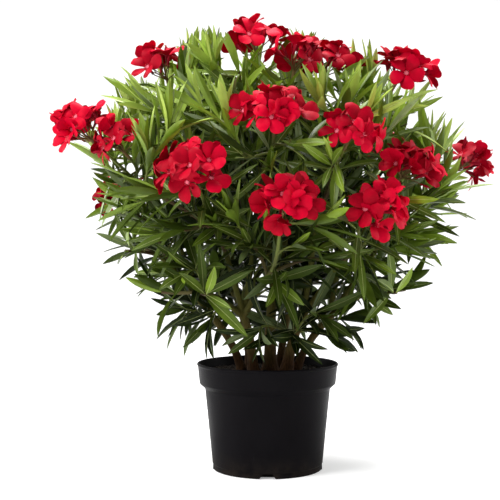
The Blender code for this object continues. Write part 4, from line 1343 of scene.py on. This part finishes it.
def bark_material(settings):
    """Brown fissured bark low down that turns greener and smoother up the boughs."""
    material, tree, shader = new_material("oleander_bark")
    shader.inputs["Specular IOR Level"].default_value = 0.12
    place = places_in(tree)
    wander = math_in(tree, "MULTIPLY", noise_in(tree, place, 28.0), 0.10)
    level = math_in(tree, "ADD", height_in(tree, place), wander)
    climb = spread_in(tree, level, SOIL_TOP + 0.06, SOIL_TOP + 0.19)
    fissures = noise_in(tree, drawn_in(tree, place, 0.22), 420.0, 6.0, 0.7)
    # Darker in the furrows of the bump and lighter on its ridges, in the old and the young colour alike:
    # painted shade and light.
    ridges = spread_in(tree, fissures, 0.35, 0.65)
    old = mix_in(tree, ridges, shade(settings.bark, 0.35), shade(settings.bark, 1.5))
    young = mix_in(tree, fissures, shade(settings.green_bark, 0.7), shade(settings.green_bark, 1.35))
    grown = mix_in(tree, climb, old, young)
    # Darker in clouds towards the foot of the stems, within 30 mm over the soil.
    dust = group_in(
        tree,
        dust_group(),
        colour=grown,
        dust_colour=shade(settings.bark, 0.25),
        level=SOIL_TOP,
        reach=0.030,
        amount=0.85,
    )
    tree.links.new(dust.outputs["Colour"], shader.inputs["Base Color"])
    tree.links.new(spread_in(tree, fissures, 0.0, 1.0, 0.92, 0.66), shader.inputs["Roughness"])
    bump_onto(tree, shader, fissures, 0.0009)
    return material


class OLEANDER_OT_bark(bpy.types.Operator):
    """Skins the stems and boughs with furrowed bark"""

    bl_idname = "oleander.bark"
    bl_label = "Stems and boughs"

    def execute(self, context):
        settings = context.scene.oleander_wood
        material = bark_material(settings)
        for stem in growth().stems:
            mesh = remeshed(stem_tubes(stem), settings.voxel)
            furrow(mesh, settings.relief)
            boughs = [f"bough_{mass.name}" for mass in stem.masses if mass.has_bough]
            name = f"bark_{stem.name}"
            piece_of(mesh, name, material, [f"stem_{stem.name}", *boughs], math.pi)
        return {"FINISHED"}


# ---------------------------------------------------------------- twigs
class OLEANDER_OT_twigs(bpy.types.Operator):
    """Grows the twigs of every mass, brown at their roots and green towards their tips"""

    bl_idname = "oleander.twigs"
    bl_label = "Twigs"

    def execute(self, context):
        settings = context.scene.oleander_wood
        plan = growth()
        brown, green = Pile(), Pile()
        for mass in plan.masses:
            radii = tapered(mass.stem_path, mass.limb_end_radius, STEM_END_RADIUS)
            brown.add_lofts(tube_rings(mass.stem_path, radii, MASS_STEM_SIDES))
            for shoot in mass.shoots:
                rings = tapered_tube(shoot.path, SHOOT_RADIUS, SHOOT_TIP_RADIUS, *SHOOT_SKIN)
                (green if shoot.truss else brown).add_lofts(rings)
        for twig in plan.twigs:
            green.add_lofts(tapered_tube(twig.path, TWIG_RADIUS, TWIG_TIP_RADIUS, *TWIG_SKIN))
        old, young = settings.green_bark, settings.shoot
        nodes = nodes_named("foliage_")
        woody = living_material("twig_brown", old, settings.bark, (0.6, 0.8), 40.0, 0.5)
        fresh = living_material("twig_green", young, shade(old, 1.2), (0.45, 0.65), 30.0, 0.3)
        piece_of(brown.mesh("twigs_brown"), "twigs_brown", woody, nodes)
        piece_of(green.mesh("twigs_green"), "twigs_green", fresh, nodes)
        return {"FINISHED"}


# ---------------------------------------------------------------- leaves
class Spray:
    """Leaves gathered row by row: where each starts, how it lies, its length, width, bend, twist and sway."""

    def __init__(self):
        self.rows = []
        self.tones = []

    def add(self, place, out, upper, shape, tone):
        self.rows.append((*place, *out, *upper, *shape))
        self.tones.append(tone)

    def leaves(self, tones):
        """The starts, ways out, upper sides and shapes of the leaves of some tones, an array of each."""
        chosen = np.array(self.rows)[np.isin(self.tones, tones)]
        return np.split(chosen, (3, 6, 9), axis=1)


def spine_at(places, outs, uppers, shapes, station):
    """Where the leaves' spines are at a station from foot to tip, with their sides and normals there."""
    length, _, bend, twist, sway = (shapes[:, k : k + 1] for k in range(5))
    bend = np.where(np.abs(bend) < 1e-3, 1e-3, bend)
    sides = np.cross(outs, uppers)
    angle = bend * station
    along, down = np.sin(angle) / bend, (1 - np.cos(angle)) / bend
    middle = places + length * (outs * along - uppers * down + sides * (sway * station**2))
    normals = uppers * np.cos(angle) + outs * np.sin(angle)
    roll = twist * station
    turned_sides = sides * np.cos(roll) + normals * np.sin(roll)
    turned_normals = normals * np.cos(roll) - sides * np.sin(roll)
    return middle, turned_sides, turned_normals


def leaf_rings(places, outs, uppers, shapes, fold):
    """The rings of every leaf, six points each, and its tip: a lens folded along the midrib."""
    rings = []
    for station, breadth in zip(LEAF_STATIONS, LEAF_BREADTHS):
        middle, side, normal = spine_at(places, outs, uppers, shapes, station)
        half = shapes[:, 1:2] * breadth / 2
        rise = half * math.tan(fold)
        thick = LEAF_THICKNESS * (0.55 + 0.45 * breadth)
        section = [
            middle - side * half + normal * rise,
            middle - side * half * 0.5 + normal * (rise * 0.5 + thick * 0.25),
            middle,
            middle + side * half * 0.5 + normal * (rise * 0.5 + thick * 0.25),
            middle + side * half + normal * rise,
            middle - normal * thick,
        ]
        rings.append(np.stack(section[::-1], axis=1))
    tips, _, _ = spine_at(places, outs, uppers, shapes, 1.0)
    return np.stack(rings, axis=1), tips


def rib_rings(places, outs, uppers, shapes):
    """The raised midrib along the upper side of every leaf, three points a ring."""
    rings = []
    for station, breadth in zip(RIB_STATIONS, RIB_BREADTHS):
        middle, side, normal = spine_at(places, outs, uppers, shapes, station)
        section = [
            middle - side * breadth / 2 + normal * RIB_RISE,
            middle + normal * (RIB_RISE + breadth * 0.55),
            middle + side * breadth / 2 + normal * RIB_RISE,
        ]
        rings.append(np.stack(section[::-1], axis=1))
    return np.stack(rings, axis=1)


def tone_of(plan, place, rank, chance):
    """The tone of a leaf, painted light and shade: lighter towards the top, the outside and the shoot's tip,
    darker under a truss.
    """
    spread = math.hypot(place.x / CROWN_HALF_WIDTH, place.y / CROWN_HALF_DEPTH)
    outer = min(1.0, spread / max(0.2, crown_share(min(place.z, CROWN_TOP - 0.02))))
    high = (place.z - LIGHT_FROM) / LIGHT_SPAN
    light = HIGH_LIGHT * high + OUTER_LIGHT * outer**1.3 - LIGHT_LOST - WHORL_SHADE * rank
    light += chance.uniform(-LIGHT_STRAY, LIGHT_STRAY)
    light -= plan.shade_at(place)
    for tone, least in LEAST_LIGHT.items():
        if light > least:
            return tone
    return "dark"


def leaf_lies(way, spoke, opening, lift):
    """The way a leaf points, turned up by lift, and the way its upper side looks."""
    angle = math.radians(opening)
    out = (way * math.cos(angle) + spoke * math.sin(angle) + UP * lift).normalized()
    upper = (way * math.sin(angle) - spoke * math.cos(angle)) + UP * 0.35
    upper = (upper - out * upper.dot(out)).normalized()
    return out, upper


def leaf_fits(plan, place, out, upper, length, bend):
    """Whether a leaf stays in the crown, above the pot and out of every truss."""
    points = []
    lean = max(abs(bend), 1e-3)
    for share in (0.3, 0.6, 0.85, 1.0):
        along, down = out * math.sin(lean * share) / lean, upper * (1 - math.cos(bend * share)) / lean
        points.append(place + length * (along - down))
    reach = LEAF_REACH if place.z > SPARSE_BELOW else LOW_REACH
    if not all(in_crown(point, reach) and in_room(point) for point in points):
        return False
    return not plan.cleared(np.array(points)).any()


def spray_on(plan, spray, shoot, settings, chance):
    """Whorls of three leaves down one shoot from its tip, or from under its truss."""
    whole = length_of(shoot.path)
    along = whole - (TRUSS_GAP if shoot.truss else TIP_GAP)
    low = shoot.path[-1].z < LOW_SHOOT
    whorls = WHORLS_UNDER_TRUSS if shoot.truss else WHORLS
    for rank, (gap, opening, size) in enumerate(whorls):
        if along < ROOT_GAP:
            break
        for k in range(WHORL):
            before, place = part_of_path(shoot.path, along - WAY_STRETCH, along, 2)
            way = (place - before).normalized()
            turn = 2 * math.pi * (k + 0.5 * (rank % 2)) / WHORL + chance.uniform(-0.22, 0.22)
            spoke = spoke_of(way, turn)
            angle = opening + (LOW_OPENING if low else 0) + chance.uniform(-7, 7)
            length = settings.length * size * chance.uniform(0.86, 1.10)
            width = settings.width * (0.55 + 0.45 * size) * chance.uniform(0.80, 1.18)
            width *= LOW_BREADTH if low else 1
            bend = 0.10 + 0.09 * rank + (LOW_BEND if low else 0.0) + chance.uniform(-0.12, 0.18)
            pale = "silver" if place.z > SILVER_ABOVE else "sage"
            lift = LEAF_LIFT * min(1.0, max(0.0, (place.z - LEAF_LIFT_LEVEL) / LEAF_LIFT_SPAN))
            tone = pale if chance.random() < settings.paleness else tone_of(plan, place, rank, chance)
            twist, sway = chance.uniform(-0.5, 0.5), chance.uniform(-0.04, 0.04)
            for closer, shorter in LEAF_TRIES:
                out, upper = leaf_lies(way, spoke, min(angle, WIDEST_OPENING) * closer, lift)
                if leaf_fits(plan, place, out, upper, length * shorter, bend):
                    spray.add(place, out, upper, (length * shorter, width, bend, twist, sway), tone)
                    break
        along -= gap * chance.uniform(0.9, 1.15)


class OLEANDER_OT_leaves(bpy.types.Operator):
    """Sets whorls of leaves on every shoot, in sprays of one tone each, with their midribs"""

    bl_idname = "oleander.leaves"
    bl_label = "Leaves"

    def execute(self, context):
        settings = context.scene.oleander_leaves
        plan = growth()
        spray = Spray()
        chance = random.Random(SEEDS["leaves"])
        for shoot in plan.shoots():
            spray_on(plan, spray, shoot, settings, chance)
        nodes = nodes_named("foliage_")
        # One piece for each tone of painted light and shade, and one for each of the two pale tones.
        for tone, shine in SHINES.items():
            if tone not in spray.tones:
                continue
            pile = Pile()
            pile.add_lofts(*leaf_rings(*spray.leaves([tone]), settings.fold))
            colour = getattr(settings, tone)
            material = living_material(f"leaf_{tone}", colour, shade(colour, 0.62), (0.30, 0.50), shine=shine)
            piece_of(pile.mesh(f"leaves_{tone}"), f"leaves_{tone}", material, nodes)
        # The midribs of the deep and dark leaves are darker with their painted shade, and those of the pale
        # leaves are dull too.
        for name, tones, factor in (("bright", BRIGHT_TONES, 0.85), ("dull", DULL_TONES, 0.42)):
            pile = Pile()
            pile.add_lofts(rib_rings(*spray.leaves(tones)))
            colour = shade(settings.rib, factor)
            material = living_material(f"midrib_{name}", colour, shade(colour, 0.8), (0.4, 0.6))
            piece_of(pile.mesh(f"midribs_{name}"), f"midribs_{name}", material, nodes)
        return {"FINISHED"}


# ---------------------------------------------------------------- blossom
class Template:
    """Lofted shapes kept as points and faces, to be stamped many times."""

    def __init__(self, rings, tips=None):
        pile = Pile()
        pile.add_lofts(rings, tips)
        self.points = np.concatenate(pile.points)
        self.faces = pile.faces

    def stamp(self, pile, origin, facing, turn, size):
        side = np.array(spoke_of(facing, turn))
        axis = np.array(facing)
        basis = np.stack([side, np.cross(axis, side), axis])
        pile.add(self.points * size @ basis + np.array(origin), *self.faces)


def radial_and_side(turn):
    """The way out from the Z axis at an angle round it, and the way round the axis there."""
    return Vector((math.cos(turn), math.sin(turn), 0)), Vector((-math.sin(turn), math.cos(turn), 0))


def petal_rings(radius, chance, opened):
    """Five petals round Z, each a thin blade: narrow at the throat, broad and round at the end.

    opened runs from 0, a funnel that is still closing in, to 1, petals laid flat and curling back.
    """
    petals = []
    for number in range(PETALS):
        start = math.radians(72 - 42 * opened + chance.uniform(-8, 8))
        end = math.radians(52 - 72 * opened + chance.uniform(-24, 20))
        wave, ruffle = chance.uniform(0, 2 * math.pi), chance.uniform(0.0006, 0.0015)
        long = (radius - THROAT_RADIUS) * chance.uniform(0.96, 1.14)
        turn = 2 * math.pi * number / PETALS + chance.uniform(-0.07, 0.07)
        pinwheel = math.tan(math.radians(chance.uniform(8, 20) + 14 * (1 - opened)))
        radial, side = radial_and_side(turn)
        spot = radial * THROAT_RADIUS
        rows = []
        for before, v in zip((0.0, *PETAL_STATIONS), PETAL_STATIONS):
            angle = start + (end - start) * (v + before) / 2
            spot = spot + (radial * math.cos(angle) + UP * math.sin(angle)) * long * (v - before)
            angle = start + (end - start) * v
            normal = UP * math.cos(angle) - radial * math.sin(angle)
            swell = 0.29 + 0.71 * math.sin(math.pi / 2 * min(1.0, v / 0.68)) ** 1.3
            ending = math.sqrt(max(0.0, 1 - max(0.0, (v - 0.62) / 0.42) ** 2.2))
            half = PETAL_HALF_WIDTH * swell * ending
            top, bottom = [], []
            for u in PETAL_SHARES:
                slide = u * half + 0.0020 * v * v
                rise = pinwheel * u * half + 0.0011 * (1 - u * u) * math.sin(math.pi * v)
                rise += ruffle * math.sin(2.6 * u + 5 * v + wave) * v
                thick = 0.00026 * (1 - u * u) + 0.00002
                point = spot + side * slide + normal * rise
                top.append(point + normal * thick)
                bottom.append(point - normal * thick)
            rows.append(top + bottom[-2:0:-1])
        petals.append(rows)
    return np.array(petals)


def lathe_rings(profile, sides):
    """Rings round Z for a profile of (radius, height)."""
    angles = np.arange(sides) * 2 * math.pi / sides
    circle = np.stack([np.cos(angles), np.sin(angles)], axis=1)
    rings = []
    for radius, height in profile:
        rings.append(np.concatenate([circle * radius, np.full((sides, 1), height)], axis=1))
    return np.array(rings)[None]


def tooth_rings(teeth, thick):
    """Pointed teeth round Z, four points a ring. teeth holds for each its turn, its rings and its tip."""
    shapes, tips = [], []
    for turn, rows, (tip_radius, tip_height) in teeth:
        radial, side = radial_and_side(turn)
        rings = []
        for radius, height, half in rows:
            corners = [side * half, radial * thick, -side * half, -radial * thick]
            rings.append([radial * radius + UP * height + corner for corner in corners])
        shapes.append(rings)
        tips.append(radial * tip_radius + UP * tip_height)
    return np.array(shapes), np.array(tips)


def fringe_teeth(chance):
    """The ragged fringe round the throat: thin pointed teeth that lean inwards."""
    teeth = []
    for number in range(FRINGE_TEETH):
        turn = 2 * math.pi * number / FRINGE_TEETH + chance.uniform(-0.12, 0.12)
        high = 0.0042 + chance.uniform(-0.0008, 0.0018)
        rows = ((0.0037, 0.0, 0.00055), (0.0033, high * 0.6, 0.00040))
        teeth.append((turn, rows, (0.0026, high)))
    return tooth_rings(teeth, 0.0002)


def sepals():
    """Small pointed sepals round the foot of a tube, one under each petal."""
    rows = ((0.0012, -0.0200, 0.0008), (0.0020, -0.0180, 0.0010))
    turns = [2 * math.pi * number / PETALS for number in range(PETALS)]
    return tooth_rings([(turn, rows, (0.0024, -0.0145)) for turn in turns], 0.0003)


def flower_templates(settings):
    """Variants of the petals, from flat to nearly closed, the parts under them with their pieces, a bud."""
    petals = []
    for number, opened in enumerate(OPENINGS):
        chance = random.Random(SEEDS["petals"] + number)
        petals.append(Template(petal_rings(settings.radius, chance, opened)))
    parts = (
        ("flower_tubes", Template(lathe_rings(TUBE_PROFILE, FLOWER_SIDES))),
        ("throat_fringes", Template(lathe_rings(WELL_PROFILE, FLOWER_SIDES))),
        ("throat_fringes", Template(*fringe_teeth(random.Random(SEEDS["fringe"])))),
        ("sepals", Template(*sepals())),
    )
    bud = Template(lathe_rings(BUD_PROFILE, BUD_SIDES), np.array([[0, 0, BUD_TIP]]))
    return petals, parts, bud


def pedicel(pile, start, start_way, end, end_way, radius):
    path = bezier(start, start_way, end, end_way, PEDICEL_POINTS)
    pile.add_lofts(tube_rings(path, [radius] * PEDICEL_POINTS, PEDICEL_SIDES))


class OLEANDER_OT_blossom(bpy.types.Operator):
    """Makes the trusses: open flowers on a dome, buds between them, and their stalks"""

    bl_idname = "oleander.blossom"
    bl_label = "Blossom"

    def execute(self, context):
        settings = context.scene.oleander_blossom
        # For each piece: its colour, how much darker or lighter its second colour is, and its roughness.
        finishes = {
            "petals_bright": (settings.petal, 0.78, (0.42, 0.60)),
            "petals_deep": (settings.deep_petal, 0.75, (0.45, 0.62)),
            "flower_tubes": (settings.bud, 1.6, (0.45, 0.6)),
            "throat_fringes": (settings.throat, 0.85, (0.5, 0.65)),
            "sepals": (settings.stalk, 0.6, (0.5, 0.7)),
            "flower_stalks": (settings.stalk, 0.7, (0.5, 0.7)),
            "buds": (settings.bud, 1.7, (0.35, 0.5)),
        }
        piles = {name: Pile() for name in finishes}
        templates = flower_templates(settings)
        for number, truss in enumerate(growth().trusses):
            chance = random.Random(SEEDS["trusses"] + number)
            dress_truss(truss, settings, templates, piles, chance)
        nodes = nodes_named("blossom_")
        for name, (colour, second, gloss) in finishes.items():
            material = living_material(name, colour, shade(colour, second), gloss, 60.0, 0.2, 0.00008, 0.05)
            piece_of(piles[name].mesh(name), name, material, nodes, math.radians(60))
        return {"FINISHED"}


def dress_truss(truss, settings, templates, piles, chance):
    """Flowers turn round the truss by the golden angle, from its middle to its skirt, with buds between."""
    petals, parts, bud = templates
    stalk = [truss.foot, truss.foot.lerp(truss.centre, 0.5), truss.centre]
    piles["flower_stalks"].add_lofts(tube_rings(stalk, [STALK_RADIUS] * 3, 8))
    first_turn = chance.uniform(0, 2 * math.pi)
    dome = TRUSS_RADIUS * truss.size
    flowers = max(1, round(truss.flowers * settings.openness))
    for number in range(flowers):
        share = (number + 0.35) / flowers
        lean = math.radians(4 + 66 * share**0.60) + chance.uniform(-0.12, 0.12)
        spoke = spoke_of(truss.way, first_turn + GOLDEN_ANGLE * number)
        radial = (truss.way * math.cos(lean) + spoke * math.sin(lean)).normalized()
        reach = (radial + UP * 0.10) * dome * chance.uniform(0.60, 0.88)
        aside = reach - truss.way * reach.dot(truss.way)
        throat = truss.centre + reach + Vector((aside.x * TRUSS_WIDER, 0, -aside.z * TRUSS_LOWER))
        stray = Vector([chance.uniform(-FLOWER_STRAY, FLOWER_STRAY) for _ in range(3)])
        facing = (radial + truss.way * 0.10 + UP * 0.15 + stray).normalized()
        turn, size = chance.uniform(0, 1.2), chance.uniform(0.92, 1.06)
        kind = "petals_deep" if chance.random() < DEEP_SHARE else "petals_bright"
        for name, template in ((kind, chance.choice(petals)), *parts):
            template.stamp(piles[name], throat, facing, turn, size)
        start, start_way = truss.centre - truss.way * 0.006, (radial + truss.way).normalized()
        foot = throat - facing * TUBE_LENGTH * size
        pedicel(piles["flower_stalks"], start, start_way, foot, facing, PEDICEL_RADIUS)
    for number in range(settings.buds):
        lean = math.radians(chance.uniform(4, 62))
        spoke = spoke_of(truss.way, first_turn + 0.9 + GOLDEN_ANGLE * (number + 0.5))
        facing = (truss.way * math.cos(lean) + spoke * math.sin(lean)).normalized()
        size = chance.uniform(0.65, 1.15)
        foot = truss.centre + facing * chance.uniform(0.022, 0.036)
        bud.stamp(piles["buds"], foot, facing, 0.0, size)
        start, start_way = truss.centre - truss.way * 0.002, (facing + truss.way).normalized()
        pedicel(piles["flower_stalks"], start, start_way, foot, facing, BUD_PEDICEL_RADIUS)


# ---------------------------------------------------------------- stage
def backdrop_mesh():
    """A floor that curves up into a wall well behind the plant."""
    shape = bmesh.new()
    section = [(FLOOR_FRONT, 0.0), (FLOOR_BACK, 0.0)]
    for angle in np.linspace(0.1, math.pi / 2, 14):
        section.append((FLOOR_BACK + WALL_BEND * math.sin(angle), WALL_BEND - WALL_BEND * math.cos(angle)))
    section.append((FLOOR_BACK + WALL_BEND, WALL_TOP))
    left, right = [
        [shape.verts.new((x, y, z)) for y, z in section] for x in (-FLOOR_HALF_WIDTH, FLOOR_HALF_WIDTH)
    ]
    for k in range(len(section) - 1):
        shape.faces.new((left[k], right[k], right[k + 1], left[k + 1]))
    return mesh_from(shape, "backdrop")


def aim(thing, target):
    """Turns a light or a camera so that it looks at target."""
    thing.rotation_euler = (target - thing.location).to_track_quat("-Z", "Y").to_euler()


def soft_light(name, place, size, power):
    light = bpy.data.lights.new(name, "AREA")
    light.shape = "DISK"
    light.size = size
    light.energy = power
    lamp = placed(name, light)
    lamp.location = place
    aim(lamp, LIGHT_TARGET)


class OLEANDER_OT_stage(bpy.types.Operator):
    """Sets the pale floor, the soft studio light and the camera"""

    bl_idname = "oleander.stage"
    bl_label = "Stage"

    def execute(self, context):
        settings = context.scene.oleander_stage
        context.scene.view_settings.view_transform = "Standard"
        self.lay_backdrop(settings)
        self.fill_world(context, settings)
        for name, (place, size, power) in LIGHTS.items():
            soft_light(name, place, size, getattr(settings, power))
        self.set_camera(context, settings)
        return {"FINISHED"}

    def lay_backdrop(self, settings):
        """A floor and wall that glow for the camera only."""
        material, tree, shader = new_material("pale_backdrop")
        shader.inputs["Base Color"].default_value = shade(settings.floor_colour, 1.0)
        shader.inputs["Roughness"].default_value = 0.9
        shader.inputs["Emission Strength"].default_value = settings.floor_glow
        seen = tree.nodes.new("ShaderNodeLightPath").outputs["Is Camera Ray"]
        tree.links.new(seen, shader.inputs["Emission Color"])
        mesh = backdrop_mesh()
        mesh.materials.append(material)
        placed("backdrop", mesh)

    def fill_world(self, context, settings):
        """White for the camera, and a weaker light from all round for everything else."""
        world = bpy.data.worlds.new("soft_room")
        world.use_nodes = True
        room = world.node_tree
        background = room.nodes["Background"]
        background.inputs["Color"].default_value = (1, 1, 1, 1)
        seen = room.nodes.new("ShaderNodeLightPath").outputs["Is Camera Ray"]
        strength = math_in(room, "MAXIMUM", seen, settings.world_strength)
        room.links.new(strength, background.inputs["Strength"])
        context.scene.world = world

    def set_camera(self, context, settings):
        camera = bpy.data.cameras.new("eye")
        camera.lens = settings.lens
        camera.sensor_width = 36.0
        eye = placed("eye", camera)
        eye.location = (0.0, -settings.eye_distance, settings.eye_height)
        aim(eye, EYE_TARGET)
        context.scene.camera = eye


# ---------------------------------------------------------------- the add-on
SETTINGS = {
    "oleander_stage": StageSettings,
    "oleander_pot": PotSettings,
    "oleander_wood": WoodSettings,
    "oleander_leaves": LeafSettings,
    "oleander_blossom": BlossomSettings,
}
OPERATORS = (
    OLEANDER_OT_stage,
    OLEANDER_OT_pot,
    OLEANDER_OT_soil,
    OLEANDER_OT_bark,
    OLEANDER_OT_twigs,
    OLEANDER_OT_leaves,
    OLEANDER_OT_blossom,
)


class OLEANDER_PT_panel(bpy.types.Panel):
    """Lists the pieces of the oleander and their settings"""

    bl_idname = "OLEANDER_PT_panel"
    bl_label = "Oleander"
    bl_space_type = "VIEW_3D"
    bl_region_type = "UI"
    bl_category = "Oleander"

    def draw(self, context):
        for operator in OPERATORS:
            self.layout.operator(operator.bl_idname)
        for key in SETTINGS:
            box = self.layout.box()
            settings = getattr(context.scene, key)
            for name in settings.__annotations__:
                box.prop(settings, name)


def register():
    for key, settings in SETTINGS.items():
        bpy.utils.register_class(settings)
        setattr(bpy.types.Scene, key, PointerProperty(type=settings))
    for kind in (*OPERATORS, OLEANDER_PT_panel):
        bpy.utils.register_class(kind)


def unregister():
    for kind in (OLEANDER_PT_panel, *reversed(OPERATORS)):
        bpy.utils.unregister_class(kind)
    for key, settings in reversed(SETTINGS.items()):
        delattr(bpy.types.Scene, key)
        bpy.utils.unregister_class(settings)


def main():
    register()
    for operator in OPERATORS:
        group, name = operator.bl_idname.split(".")
        getattr(getattr(bpy.ops, group), name)()


if __name__ == "__main__":
    main()
